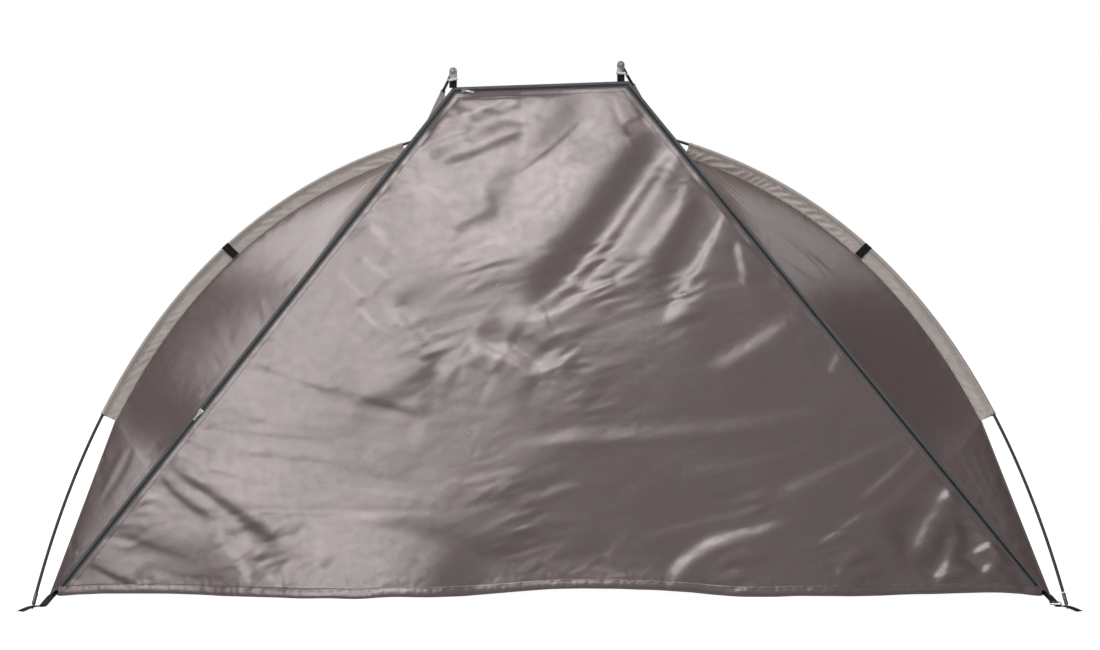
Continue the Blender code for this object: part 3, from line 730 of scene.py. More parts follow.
def weave(tree, threads, checks=0.0):
    """The height and the grid of a plain weave, by its threads and its heavier threads per metre."""
    inputs = {"Lay": on_cloth(tree), "Threads": threads, "Checks": checks}
    return node(tree, "ShaderNodeGroup", inputs, node_tree=plain_weave).outputs


def polyester(name, colours, metallic, gloss, index=1.5, creases=0.0):
    """Coated polyester: a fine weave under the coating, a faint grid, faint creases and a cloudy sheen."""
    material, tree, shader = new_finish(name, {"Metallic": metallic, "IOR": index})
    lay = on_cloth(tree)
    threads = weave(tree, 900.0, 208.0)
    crease = node(tree, "ShaderNodeGroup", {"Lay": lay, "Depth": creases}, node_tree=faint_creases).outputs[0]
    tone = cloudy(tree, lay, (5.0, 42.0))
    coloured(tree, shader, maths(tree, "MULTIPLY_ADD", threads["Grid"], 0.4, tone), colours)
    tree.links.new(ranged(tree, tone, *gloss), shader.inputs["Roughness"])
    bumped(tree, shader, maths(tree, "MULTIPLY_ADD", threads["Height"], 0.000012, crease), 1.0)
    return material


def spun_thread(name, colours):
    """Spun polyester thread."""
    inputs = {"Specular IOR Level": 0.3}
    return clouded_finish(name, on_object, (300.0, 3000.0), colours, (0.55, 0.8), inputs)[0]


def stretch_of(pole, stations, fine, behind):
    """A stretch of a pole between two stations, with the inward direction and the seam beside it."""
    part = slice(stations[0] * fine, stations[1] * fine + 1)
    points = pole[part]
    length = reached(points)[-1]
    hem = np.array((0, HEM_EDGE, SLEEVE_HEM - HEM_EDGE, SLEEVE_HEM))
    inner = np.linspace(SLEEVE_HEM, length - SLEEVE_HEM, round(length / SLEEVE_PITCH))[1:-1]
    marks = np.concatenate((hem, inner, (length - hem)[::-1]))
    inward = along(points, marks, inwards(pole, behind)[part])
    return along(points, marks), inward, seam_beside(pole, behind)[part]


def sleeve_places(path, inward, depths):
    """The places and cloth coordinates of one sleeve, puckered and hemmed at both mouths."""
    run = reached(path)[:, None]
    whole = run[-1, 0]
    outline = np.broadcast_to(sleeve_outline(), (len(path), *sleeve_outline().shape)).copy()
    from_mouth = np.minimum(run, whole - run)
    hem = (from_mouth < SLEEVE_HEM - HEM_EDGE / 2) & (from_mouth > 0)
    share = np.clip((outline[..., 0] - SLEEVE_NECK) / (SLEEVE_WIDTH - SLEEVE_NECK), 0, 1)
    outline[..., 1] += np.sign(outline[..., 1]) * HEM_STEP * hem
    outline[..., 0] -= HEM_STEP * hem * (outline[..., 0] < 0)
    depth = depths[0] + (depths[1] - depths[0]) * soft_step(run / whole * 2.4 - 1.0)
    wave = np.sin(math.tau * (run / PUCKER_PITCH - PUCKER_SLANT * share + 1.3 * uneven(run, 0.11, 11)))
    swell = 0.6 + 0.4 * ripples(run / 0.07, share * 1.5, 12)
    outline[..., 1] += depth * wave * swell * np.sin(math.pi * share) ** 0.7
    crinkle = ripples(run / CRINKLE_PITCH - 2 * share + 9, share * 2, 13)
    outline[..., 1] += CRINKLE * crinkle * (share > 0)
    outline[..., 0] += EDGE_WAVE * np.sin(math.tau * run / EDGE_WAVE_PITCH) * (share == 1)
    return swept(path, inward, outline)


def thicken(item, thickness):
    """Gives cloth its second face and an edge."""
    walls = item.modifiers.new("thickness", "SOLIDIFY")
    walls.thickness = thickness
    walls.offset = -1.0


pale_cloth = polyester("pale_sleeve_cloth", ((0.83, 0.745, 0.69), (0.69, 0.615, 0.57)), 0.15, (0.32, 0.44))
pale_thread = spun_thread("pale_thread", ((0.20, 0.18, 0.16), (0.32, 0.29, 0.26)))
last_point = 2 * SLEEVE_LAYER_POINTS + SLEEVE_ROUND_POINTS - 1
seams = {}
for side, sign in (("left", -1), ("right", 1)):
    for kind, pole_name, pole, stations, fine, behind, outer in (
        ("arch", "arch_pole", arch[::-sign], ARCH_SLEEVE_STATIONS, ARCH_FINE, ARCH_SLEEVE_BEHIND, sign),
        ("rear", f"{side}_rear_pole", rears[side], REAR_SLEEVE_STATIONS, REAR_FINE, 0.0, -sign),
    ):
        name = f"{side}_{kind}_sleeve"
        path, inward, seams[f"{side}_{kind}"] = stretch_of(pole, stations, fine, behind)
        places, lay = sleeve_places(path, inward, PUCKER_DEPTHS[f"{side}_{kind}"])
        piece = add_piece(f"{name}_cloth", mesh_through(places, lay, closed=True), pale_cloth, "pale_sleeve")
        thicken(piece, SLEEVE_CLOTH)
        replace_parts(piece, name)
        points = STITCHED_POINTS if outer > 0 else [last_point - point for point in STITCHED_POINTS[::-1]]
        out = unit(np.cross(np.gradient(path, axis=0), inward)) * outer
        stitches = beads([(places[:, point] + out * THREAD, out) for point in points])
        add_piece(f"{name}_stitches", stitches, pale_thread, "pale_sleeve", sharp_angle=180)


# Front panels, side panels and roof
# Four-sided pieces of coated taupe polyester, sewn between the zip, the sleeves and the floor. The
# two front ones are drawn into long folds by the pole above them. A facing strip covers the tape of
# the zip, and a binding closes the free edge from the end of each front sleeve to the ground.
DOOR_HALF_WIDTH = 1.25
DOOR_TOP_LEFT = (-0.252, 1.325)
DOOR_TOP_RIGHT = (0.204, 1.342)
SEAM_EDGE = 0.0088
ZIP_LOWEST = 0.012
TENT_CORNER_OUT = 0.014
TENT_CORNER_BEHIND_HEM = 0.002
CLOTH_FOOT = 0.0014
CROSSING_LENGTH = 0.33
GUSSET_SAG = 0.004
SIDE_SAG = 0.030
ROOF_SAG = 0.022
BEHIND_ZIP = (0, 0.0026, 0.0006)
TOP_CORNER_SHARE = 0.2
CALM_BAND = 0.016
FACING_WIDTH = 0.012
FACING_LIFT = 0.0011
FACING_EDGE = 0.0004
BINDING = (0.0026, 0.0013)
BINDING_STEPS = 60
INSIDE_TENT = at(0, 0.6, 0.4)
FRONT_LIGHT = (-0.85, -0.53)
FRONT_PITCH = 0.0046
SIDE_PITCH = 0.008
ROOF_PITCH = 0.009
FRONT_SLACK = 0.12
# The folds that run down from a panel's top: how many, how steep, and how far down they reach
FRONT_FAN = (19, 0.10, 0.65)
SIDE_FAN = (9, 0.05, 1.9)
ROOF_FAN = (9, 0.05, 2.2)
# A fold is a straight or bowed band. It ends softly past its points and comes back to level beside it
FOLD_END = 0.15
FOLD_RETURN = (0.05, 2.2)
GATHERS = 0.0008
WRINKLES = 0.0015


def door_corners(inset, foot):
    """The door's corners in its own plane, moved in from the seam, with its foot cut level."""
    corners = np.array(((-DOOR_HALF_WIDTH, 0), DOOR_TOP_LEFT, DOOR_TOP_RIGHT, (DOOR_HALF_WIDTH, 0)))
    heading = unit(np.diff(corners, axis=0))
    starts = corners[:-1] + heading[:, ::-1] * (1, -1) * inset
    level = np.array((1.0, 0.0))
    lines = [((0, foot), level), *zip(starts, heading), ((0, foot), level)]
    points = []
    for (first, first_way), (second, second_way) in zip(lines, lines[1:]):
        ways = np.stack((first_way, -second_way), axis=1)
        share = np.linalg.solve(ways, np.subtract(second, first))[0]
        points.append(first + first_way * share)
    return np.array(points)


def creased(across, up, folds, light):
    """The height of cloth with folds: bands by their points, width at both ends, and tilt to the light."""
    height = np.zeros(np.shape(across))
    place = np.stack((across, up), axis=-1)
    for points, widths, tilt in folds:
        points = np.array(points)
        chord = points[-1] - points[0]
        length = np.linalg.norm(chord)
        heading = chord / length
        aside = heading[::-1] * (-1, 1)
        aside = aside * np.sign(aside @ light)
        share = (place - points[0]) @ heading / length
        bow_shares = (points - points[0]) @ heading / length
        bow = np.polyfit(bow_shares, (points - points[0]) @ aside, min(len(points) - 1, 3))
        offset = (place - points[0]) @ aside - np.polyval(bow, np.clip(share, -FOLD_END, 1 + FOLD_END))
        half = np.interp(share, (0, 1), widths) / 2
        reach = FOLD_RETURN[0] + FOLD_RETURN[1] * half
        ends = soft_step((share + FOLD_END) / 0.3) * soft_step((1 + FOLD_END - share) / 0.3)
        height -= tilt * half * np.tanh(offset / half) * np.exp(-((offset / reach) ** 2)) * ends
    return height


def facets(across, up, seed):
    """Random flat facets from -1 to 1, about one for each unit, with straight creases between them."""
    lattice = np.random.default_rng(seed).uniform(-1, 1, (LATTICE, LATTICE))
    across = across + 0.5 * up + 0.35 * ripples(across / 2.3 + 7, up / 2.3 + 7, seed + 1)
    up = up + 0.35 * ripples(across / 2.1 + 17, up / 2.1 + 17, seed + 2)
    column, row = np.floor(across).astype(int), np.floor(up).astype(int)
    ahead, above = across - column, up - row
    columns = column % LATTICE, (column + 1) % LATTICE
    rows = row % LATTICE, (row + 1) % LATTICE
    low, top, right, far = (lattice[first, second] for first in columns for second in rows)
    near = low + (right - low) * ahead + (top - low) * above
    beyond = far + (top - far) * (1 - ahead) + (right - far) * (1 - above)
    return np.where(ahead + above < 1, near, beyond)


def patch(first, second, shares, sag):
    """Places between two edges by their share of the way across, drawn out at the middle by the sag."""
    rows = len(first) - 1
    middle = rows // 2
    down = first[-1] + second[-1] - first[0] - second[0]
    normal = unit(np.cross(down, second[middle] - first[middle]))
    shares = np.broadcast_to(shares, (rows + 1, np.shape(shares)[-1]))[..., None]
    bulge = np.sin(math.pi * np.linspace(0, 1, rows + 1))[:, None, None] * np.sin(math.pi * shares)
    return first[:, None] + (second - first)[:, None] * shares + normal * sag * bulge


def lay_of(places):
    """How far each place is across its row and down the cloth."""
    lay = np.zeros((*places.shape[:2], 2))
    lay[:, 1:, 0] = np.cumsum(np.linalg.norm(np.diff(places, axis=1), axis=2), axis=1)
    steps = np.linalg.norm(np.diff(places, axis=0), axis=2).mean(axis=1)
    lay[1:, :, 1] = np.cumsum(steps)[:, None]
    return lay


def normals_of(places):
    """The direction square to the cloth at each place."""
    return unit(np.cross(np.gradient(places, axis=0), np.gradient(places, axis=1)) + 1e-12)


def slack_cloth(across, down, seed, slack):
    """The relief of thin cloth that hangs between seams: slow waves and fine crumpled ridges."""
    slow = 0.0035 * slack * ripples(across / 0.28 + 9, down / 0.36 + 5, seed)
    middle = 0.0009 * slack * ripples(across / 0.07 + 3, down / 0.09 + 7, seed + 1)
    ridges = 0.0007 * slack * (1 - np.abs(ripples(across / 0.035, down / 0.05, seed + 2) * 2))
    rough = soft_step(ripples(across / 0.22, down / 0.22, seed + 3) + 0.3)
    crumples = 0.0011 * slack * facets(across / 0.06, down / 0.05, seed + 4)
    return slow + middle + (ridges + crumples) * rough


def seam_puckers(beside, run, seed):
    """Small uneven gathers beside a seam and the longer wrinkles they run out in, by the place along it."""
    gathers = ripples(run / 0.011 + 5, beside / 0.05, seed) * (0.5 + 0.5 * uneven(run, 0.06, seed + 1))
    wrinkles = ripples(run / 0.022 + 9, beside / 0.06 + 3, seed + 2)
    wrinkles = wrinkles * soft_step(uneven(run, 0.13, seed + 3) + 0.6)
    faded = GATHERS * gathers * np.exp(-beside / 0.022) + WRINKLES * wrinkles * np.exp(-beside / 0.05)
    return soft_step(beside / 0.006) * faded


TAUPE = (0.310, 0.216, 0.208), (0.270, 0.200, 0.186)
taupe_cloth = polyester("taupe_cloth", TAUPE, 0.2, (0.19, 0.28), index=2.5, creases=0.0002)
taupe_thread = spun_thread("taupe_thread", ((0.30, 0.26, 0.25), (0.44, 0.39, 0.37)))

# Folds of the front panels: their points, across from the zip and down from the top, their width at
# both ends, and how steep they are
GUSSET_FOLDS = {
    "left": (
        (((0.27, 0.445), (0.2, 0.465), (0.155, 0.53), (0.135, 0.63), (0.125, 0.76)), (0.012, 0.014), 0.05),
        (((0.215, 0.49), (0.175, 0.55), (0.155, 0.65), (0.145, 0.78)), (0.009, 0.012), 0.04),
        (
            ((0.11, 0.44), (0.06, 0.46), (0.038, 0.53), (0.035, 0.62), (0.05, 0.76), (0.075, 0.95)),
            (0.01, 0.017),
            0.04,
        ),
        (((0.02, 0.47), (0.012, 0.6), (0.015, 0.75)), (0.008, 0.009), 0.03),
        (((0.07, 1.38), (0.052, 1.44), (0.045, 1.53)), (0.014, 0.014), -0.06),
        (((0.1, 1.4), (0.088, 1.46), (0.07, 1.52)), (0.014, 0.014), -0.05),
        (((0.082, 1.39), (0.068, 1.46), (0.058, 1.53)), (0.014, 0.012), 0.05),
    ),
    "right": (
        (
            ((0.285, 0.42), (0.21, 0.43), (0.155, 0.47), (0.132, 0.55), (0.13, 0.65), (0.14, 0.79)),
            (0.012, 0.012),
            0.13,
        ),
        (((0.205, 0.45), (0.165, 0.51), (0.15, 0.6), (0.155, 0.7), (0.165, 0.82)), (0.01, 0.011), 0.11),
        (((0.22, 0.48), (0.185, 0.55), (0.17, 0.65), (0.175, 0.8)), (0.009, 0.01), 0.08),
        (((0.02, 0.42), (0.025, 0.55), (0.04, 0.65), (0.065, 0.72), (0.085, 0.78)), (0.008, 0.008), 0.1),
        (((0.085, 0.41), (0.09, 0.47), (0.1, 0.6)), (0.017, 0.017), -0.04),
        (((0.05, 1.42), (0.037, 1.5), (0.03, 1.62)), (0.01, 0.01), 0.1),
        (((0.08, 1.43), (0.06, 1.5), (0.045, 1.6)), (0.01, 0.01), 0.08),
        (((0.11, 1.44), (0.085, 1.5), (0.06, 1.57)), (0.01, 0.01), 0.07),
    ),
}


def panel(first, second, pitch, sag, outward, seed, fan, slack=1.0, folds=(), light=(1, 0)):
    """A piece of slack cloth between two edges: its mesh, and both edges in as many steps."""
    rows = round(max(reached(first)[-1], reached(second)[-1]) / pitch)
    first, second = respaced(first, rows), respaced(second, rows)
    columns = round(np.linalg.norm(second - first, axis=1).max() / pitch)
    places = patch(first, second, np.linspace(0, 1, columns + 1), sag * outward)
    lay = lay_of(places)
    across, down = lay[..., 0], lay[..., 1]
    beside = np.minimum(across, across[:, -1:] - across)
    relief = slack_cloth(across, down, seed, slack) + creased(across, down, folds, light)
    count, tilt, reach = fan
    share = across / (across[:, -1:] + 1e-6)
    drawn = ripples(share * count + 3, down / 0.9 + 2, seed + 8)
    relief += tilt / count * across[:, -1:] * drawn * soft_step((reach - down) / reach)
    edge = np.minimum(beside, np.minimum(down, down[-1] - down) * 1.5)
    relief = relief * soft_step(edge / CALM_BAND) + seam_puckers(beside, down, seed)
    places = places + normals_of(places) * (outward * relief * soft_step(down / 0.03))[..., None]
    return mesh_through(places, lay), first, second


def facing(first, second, sag, outward):
    """The strip that covers the zip's tape, and its row of stitches, beside the first edge."""
    width = np.linalg.norm(second - first, axis=1)[:, None]
    across = np.array((0, FACING_EDGE, FACING_WIDTH - FACING_EDGE, FACING_WIDTH, 0))
    lift = FACING_LIFT * np.array((-0.2, 1, 1, -0.2, -0.2))
    keep = width[:, 0] > 1.3 * FACING_WIDTH
    places = patch(first, second, np.clip(across / width, 0, 1), sag * outward)
    middle = patch(first, second, np.clip(0.5 * FACING_WIDTH / width, 0, 1), sag * outward)[:, 0]
    out = np.broadcast_to(normals_of(places[:, :4])[:, 1:2] * outward, places.shape)
    places = places + out * lift[:, None]
    strip = mesh_through(places[keep], lay_of(places[keep]), closed=True, capped=True)
    out = out[:, 0][keep]
    return strip, beads([(middle[keep] + out * FACING_LIFT, out)])


outer_corners = in_door_plane(*door_corners(-SEAM_EDGE, ZIP_LOWEST).T)
floor_corners = {}
roof_edges = {}
for side, sign in (("left", -1), ("right", 1)):
    front_seam = seams[f"{side}_arch"][::-1]
    rear_seam = seams[f"{side}_rear"]
    door_corner, hem_corner = outer_corners[[1, 0] if side == "left" else [2, 3]]
    tent_corner = at(sign * (DOOR_HALF_WIDTH + TENT_CORNER_OUT), TENT_CORNER_BEHIND_HEM, CLOTH_FOOT)
    floor_corners[side] = seam_beside(rears[side])[-1] * (1, 1, 0) + UP * CLOTH_FOOT
    crossing = along(rear_seam, [CROSSING_LENGTH])
    above = rear_seam[reached(rear_seam) < CROSSING_LENGTH]
    below = rear_seam[reached(rear_seam) > CROSSING_LENGTH]

    start = door_corner + (rear_seam[0] - door_corner) * TOP_CORNER_SHARE
    outer_edge = np.vstack((start, above, crossing, front_seam, tent_corner))
    zip_edge = np.stack((door_corner, hem_corner))
    front = FRONT_PITCH, GUSSET_SAG, sign, 30 + sign, FRONT_FAN, FRONT_SLACK, GUSSET_FOLDS[side], FRONT_LIGHT
    cloth, zip_edge, outer_edge = panel(zip_edge, outer_edge, *front)
    front_panel = add_piece(f"{side}_front_panel", cloth, taupe_cloth, "taupe_polyester")
    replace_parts(front_panel, f"{side}_gusset")
    strip, stitches = facing(zip_edge, outer_edge, GUSSET_SAG, sign)
    strip = add_piece(f"{side}_front_facing", strip, taupe_cloth, "taupe_polyester")
    stitches = add_piece(f"{side}_front_stitches", stitches, taupe_thread, "taupe_polyester", sharp_angle=180)
    free_edge = respaced(np.stack((front_seam[-1], tent_corner)), BINDING_STEPS)
    binding = bar_along(free_edge, unit(front_seam[-1] - INSIDE_TENT), circle(1.0) * BINDING)
    binding = add_piece(f"{side}_edge_binding", binding, taupe_cloth, "taupe_polyester")

    back_edge = np.vstack((crossing, below, floor_corners[side]))
    front_edge = np.vstack((front_seam, tent_corner))
    cloth, *_ = panel(back_edge, front_edge, SIDE_PITCH, SIDE_SAG, sign, 40 + sign, SIDE_FAN)
    side_panel = add_piece(f"{side}_side_cloth", cloth, taupe_cloth, "taupe_polyester")
    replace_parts(side_panel, f"{side}_side_panel")
    roof_edges[side] = np.vstack((door_corner + BEHIND_ZIP, rear_seam, floor_corners[side]))

cloth, *_ = panel(roof_edges["left"], roof_edges["right"], ROOF_PITCH, ROOF_SAG, -1, 50, ROOF_FAN)
roof = add_piece("roof_cloth", cloth, taupe_cloth, "taupe_polyester")
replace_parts(roof, "roof_panel")


# Door
# One trapezoid of the same taupe polyester, zipped in along three sides and hinged by its hem. Air
# and slack leave it in long slanting folds. A facing strip is sewn over the tape of the zip.
FOLD_UP = 0.22
# How far the cloth may stand out: little, where it lies on the ground when the door is open
OPEN_HEIGHT = 0.002
OPEN_RISE = 0.035
OPEN_ROOM = 0.2
SOFT_LIMIT = 0.0015
# The cloth, and the facing with its two rows of stitches, by insets from the seam
DOOR_CELL = 0.0048
DOOR_CLOTH_INSET = 0.006
DOOR_FOOT = 0.0036
STRIP_PITCH = 0.006
FACING_FOOT = DOOR_FOOT + 0.02
FACING_INSETS = (0.0082, 0.0086, 0.0192, 0.0196, 0.0082)
FACING_OUTS = (-0.0004, 0.0010, 0.0010, -0.0002, -0.0004)
STITCH_INSETS = (0.0105, 0.0178)
STITCH_OUT = 0.0013
# Where the light comes from in the door's plane, and how far up the hem's bows and lifts fade out
DOOR_LIGHT = (-0.85, 0.53)
BILLOW_UP = 0.40
HEM_FORM_UP = 0.16
HEM_UNEVEN = 0.0014
LIFT_UP = 0.11
LIFT_FROM_SEAM = 0.05
# How far forward and how far up the hem is, by how far across
HEM_FORWARD = (
    (-1.25, 0), (-0.906, 0), (-0.755, 0.022), (-0.604, 0.038), (-0.453, 0.038), (-0.302, 0.026),
    (-0.19, 0.004), (0, 0), (0.378, 0), (0.47, 0.011), (0.72, 0.011), (0.86, 0), (1.25, 0),
)
HEM_LIFT = (
    (-1.25, 0), (-1.209, 0.004), (-0.906, 0.004), (-0.80, 0), (-0.44, 0), (-0.378, 0.004), (-0.33, 0),
    (-0.22, 0), (-0.151, 0.005), (0, 0.016),
    (0.151, 0.019), (0.227, 0.016), (0.378, 0.005), (0.47, 0), (0.80, 0), (0.906, 0.003), (1.133, 0.008),
    (1.25, 0),
)
# Its folds: their points across and up, their width at both ends, and how steep they are
DOOR_FOLDS = (
    # Dark folds that fan from the top left corner, and the wide valleys beside them
    (((-0.24, 1.25), (-0.17, 1.27), (-0.11, 1.3)), (0.018, 0.018), -0.12),
    (((-0.34, 1.16), (-0.27, 1.195), (-0.2, 1.215)), (0.016, 0.02), -0.12),
    (((-0.22, 1.235), (-0.15, 1.26), (-0.07, 1.285)), (0.03, 0.026), -0.16),
    (((-0.29, 1.125), (-0.2, 1.155), (-0.12, 1.19), (-0.07, 1.21)), (0.026, 0.036), -0.16),
    (((0.07, 1.29), (0.00, 1.22), (-0.07, 1.15), (-0.13, 1.08), (-0.155, 0.99)), (0.08, 0.09), -0.08),
    (((-0.14, 1.00), (-0.19, 0.975), (-0.25, 0.94)), (0.034, 0.024), -0.08),
    (((0.255, 1.2), (0.185, 1.08), (0.1, 0.97), (0.03, 0.87), (-0.04, 0.77)), (0.07, 0.095), -0.13),
    (
        ((0.32, 1.15), (0.27, 1.08), (0.21, 0.99), (0.13, 0.88), (0.05, 0.785), (-0.04, 0.72)),
        (0.04, 0.048),
        0.2,
    ),
    (((0.355, 1.07), (0.34, 1.03), (0.3, 0.96), (0.23, 0.87)), (0.02, 0.04), 0.09),
    (((0.385, 1.04), (0.35, 0.96), (0.31, 0.88), (0.28, 0.8)), (0.04, 0.06), -0.09),
    (((0.45, 0.98), (0.42, 0.92), (0.385, 0.855), (0.345, 0.79), (0.31, 0.72)), (0.01, 0.034), 0.18),
    (((0.487, 0.91), (0.495, 0.86), (0.505, 0.81)), (0.014, 0.018), 0.18),
    (((0.075, 1.235), (0.00, 1.165), (-0.07, 1.11)), (0.01, 0.01), -0.09),
    (((-0.062, 1.25), (-0.068, 1.2), (-0.075, 1.15)), (0.01, 0.01), 0.06),
    (((0.27, 1.235), (0.235, 1.215), (0.2, 1.2)), (0.014, 0.014), 0.09),
    (((0.255, 1.26), (0.225, 1.245), (0.195, 1.235)), (0.012, 0.012), -0.1),
    (((-0.47, 1.015), (-0.42, 1.03), (-0.36, 1.04)), (0.012, 0.01), -0.1),
    (((-0.465, 0.965), (-0.44, 0.93), (-0.41, 0.88)), (0.018, 0.018), -0.09),
    (((-0.49, 0.875), (-0.46, 0.85), (-0.42, 0.82)), (0.016, 0.016), -0.09),
    (((-0.55, 0.835), (-0.52, 0.8), (-0.48, 0.77)), (0.013, 0.013), -0.09),
    (((-0.5, 0.745), (-0.47, 0.71), (-0.445, 0.68)), (0.016, 0.016), -0.09),
    (((-0.6, 0.7), (-0.57, 0.68), (-0.53, 0.655)), (0.018, 0.02), -0.07),
    (((-0.71, 0.62), (-0.68, 0.6), (-0.64, 0.585)), (0.014, 0.016), -0.07),
    # The crumpled middle
    (((-0.405, 0.75), (-0.36, 0.69), (-0.32, 0.63), (-0.3, 0.57)), (0.05, 0.06), -0.14),
    (((-0.19, 0.65), (-0.14, 0.625), (-0.09, 0.6), (-0.04, 0.56)), (0.03, 0.02), 0.12),
    (((-0.23, 0.605), (-0.19, 0.585), (-0.14, 0.565)), (0.03, 0.024), -0.1),
    (((-0.11, 0.645), (-0.06, 0.605), (-0.02, 0.575)), (0.026, 0.016), -0.13),
    (((-0.12, 0.705), (-0.05, 0.655), (0.00, 0.62), (0.03, 0.585)), (0.04, 0.04), 0.09),
    (((0.095, 0.655), (0.06, 0.625), (0.02, 0.58)), (0.01, 0.014), 0.06),
    (((-0.015, 0.735), (0.00, 0.69), (0.03, 0.64), (0.065, 0.605)), (0.01, 0.01), -0.1),
    # Long folds from the left side of the zip
    (((-0.765, 0.597), (-0.7, 0.565), (-0.62, 0.54), (-0.54, 0.515), (-0.4, 0.5)), (0.012, 0.032), -0.09),
    (((-0.48, 0.5), (-0.42, 0.485), (-0.33, 0.455)), (0.02, 0.03), -0.09),
    (((-0.84, 0.475), (-0.78, 0.455), (-0.73, 0.445)), (0.016, 0.016), -0.05),
    (((-0.9, 0.425), (-0.75, 0.41), (-0.55, 0.395)), (0.014, 0.024), -0.05),
    (((-0.93, 0.375), (-0.8, 0.36), (-0.6, 0.34), (-0.4, 0.3)), (0.012, 0.03), -0.05),
    (((-0.95, 0.36), (-0.92, 0.335), (-0.885, 0.318)), (0.014, 0.012), -0.1),
    (((-0.9, 0.33), (-0.78, 0.29), (-0.66, 0.27)), (0.014, 0.024), -0.05),
    (((-0.967, 0.32), (-0.9, 0.28), (-0.83, 0.23), (-0.76, 0.185), (-0.7, 0.135)), (0.014, 0.036), 0.16),
    (((-0.993, 0.298), (-0.96, 0.262), (-0.92, 0.23), (-0.87, 0.2)), (0.012, 0.02), 0.16),
    (((-0.94, 0.285), (-0.87, 0.235), (-0.8, 0.18), (-0.76, 0.12)), (0.018, 0.024), -0.05),
    (((-0.835, 0.155), (-0.8, 0.115), (-0.775, 0.075), (-0.762, 0.04)), (0.026, 0.014), -0.17),
    (((-0.75, 0.1), (-0.72, 0.08), (-0.7, 0.055)), (0.026, 0.02), -0.1),
    (((-0.66, 0.135), (-0.62, 0.1), (-0.575, 0.07)), (0.024, 0.026), -0.1),
    (((-1.175, 0.082), (-1.12, 0.052), (-1.06, 0.022)), (0.01, 0.012), -0.17),
    (((-1.065, 0.15), (-1.00, 0.12), (-0.92, 0.1)), (0.014, 0.018), -0.07),
    (((-0.98, 0.06), (-0.9, 0.045), (-0.82, 0.05)), (0.01, 0.01), -0.05),
    # The lower middle
    (((-0.4, 0.195), (-0.3, 0.17), (-0.2, 0.135), (-0.12, 0.085)), (0.03, 0.06), -0.06),
    (((-0.41, 0.165), (-0.3, 0.12), (-0.2, 0.085), (-0.09, 0.03)), (0.04, 0.03), 0.02),
    (((-0.335, 0.09), (-0.305, 0.06), (-0.275, 0.025)), (0.01, 0.01), 0.08),
    (((-0.02, 0.075), (0.00, 0.055), (0.025, 0.03)), (0.014, 0.014), 0.09),
    (((0.135, 0.095), (0.16, 0.07), (0.185, 0.045)), (0.022, 0.016), 0.08),
    (((-0.1, 0.205), (-0.06, 0.22), (0.00, 0.26), (0.07, 0.28)), (0.014, 0.02), 0.06),
    # The long level fold and the ones that rise to the right side of the zip
    (
        ((-0.08, 0.385), (0.05, 0.4), (0.2, 0.41), (0.35, 0.42), (0.5, 0.44), (0.68, 0.475)),
        (0.036, 0.048),
        0.075,
    ),
    (((-0.02, 0.375), (0.2, 0.382), (0.42, 0.4), (0.6, 0.43)), (0.02, 0.024), -0.05),
    (((0.36, 0.32), (0.5, 0.34), (0.66, 0.378)), (0.02, 0.02), 0.06),
    (((0.25, 0.155), (0.36, 0.18), (0.52, 0.22)), (0.018, 0.024), 0.08),
    (((0.305, 0.04), (0.34, 0.085), (0.39, 0.125), (0.46, 0.15), (0.57, 0.178)), (0.044, 0.022), 0.19),
    (((0.42, 0.59), (0.49, 0.625), (0.56, 0.67), (0.65, 0.725)), (0.044, 0.034), 0.11),
    (((0.64, 0.655), (0.67, 0.67), (0.7, 0.68)), (0.018, 0.018), 0.08),
    (((0.755, 0.625), (0.735, 0.6), (0.72, 0.57)), (0.018, 0.022), 0.12),
    (((0.89, 0.46), (0.83, 0.452), (0.76, 0.435)), (0.012, 0.014), 0.08),
    (((0.93, 0.42), (0.86, 0.385), (0.78, 0.35), (0.68, 0.3), (0.58, 0.26)), (0.02, 0.034), 0.11),
    (((0.95, 0.39), (0.92, 0.36), (0.88, 0.32), (0.84, 0.285), (0.79, 0.245)), (0.014, 0.024), 0.19),
    (((0.99, 0.345), (0.94, 0.305), (0.88, 0.25), (0.8, 0.2)), (0.02, 0.03), 0.13),
    (((0.8, 0.21), (0.74, 0.17), (0.685, 0.135)), (0.01, 0.012), 0.16),
    (((0.79, 0.12), (0.75, 0.095), (0.725, 0.055)), (0.022, 0.026), 0.14),
    (((0.905, 0.11), (0.915, 0.075), (0.93, 0.04)), (0.012, 0.01), 0.1),
    # The glossy ones in the right corner
    (((1.03, 0.28), (0.985, 0.22), (0.95, 0.165), (0.925, 0.11)), (0.043, 0.05), 0.3),
    (((1.022, 0.17), (1.015, 0.12), (1.00, 0.08), (0.98, 0.035)), (0.025, 0.036), 0.3),
    (((1.055, 0.24), (1.08, 0.19), (1.09, 0.14), (1.092, 0.09)), (0.04, 0.054), 0.3),
    (((1.105, 0.2), (1.12, 0.17), (1.135, 0.14)), (0.036, 0.036), 0.23),
    (((1.15, 0.135), (1.125, 0.1), (1.095, 0.05)), (0.036, 0.032), 0.3),
    (((1.17, 0.095), (1.2, 0.055), (1.235, 0.018)), (0.022, 0.018), 0.27),
)
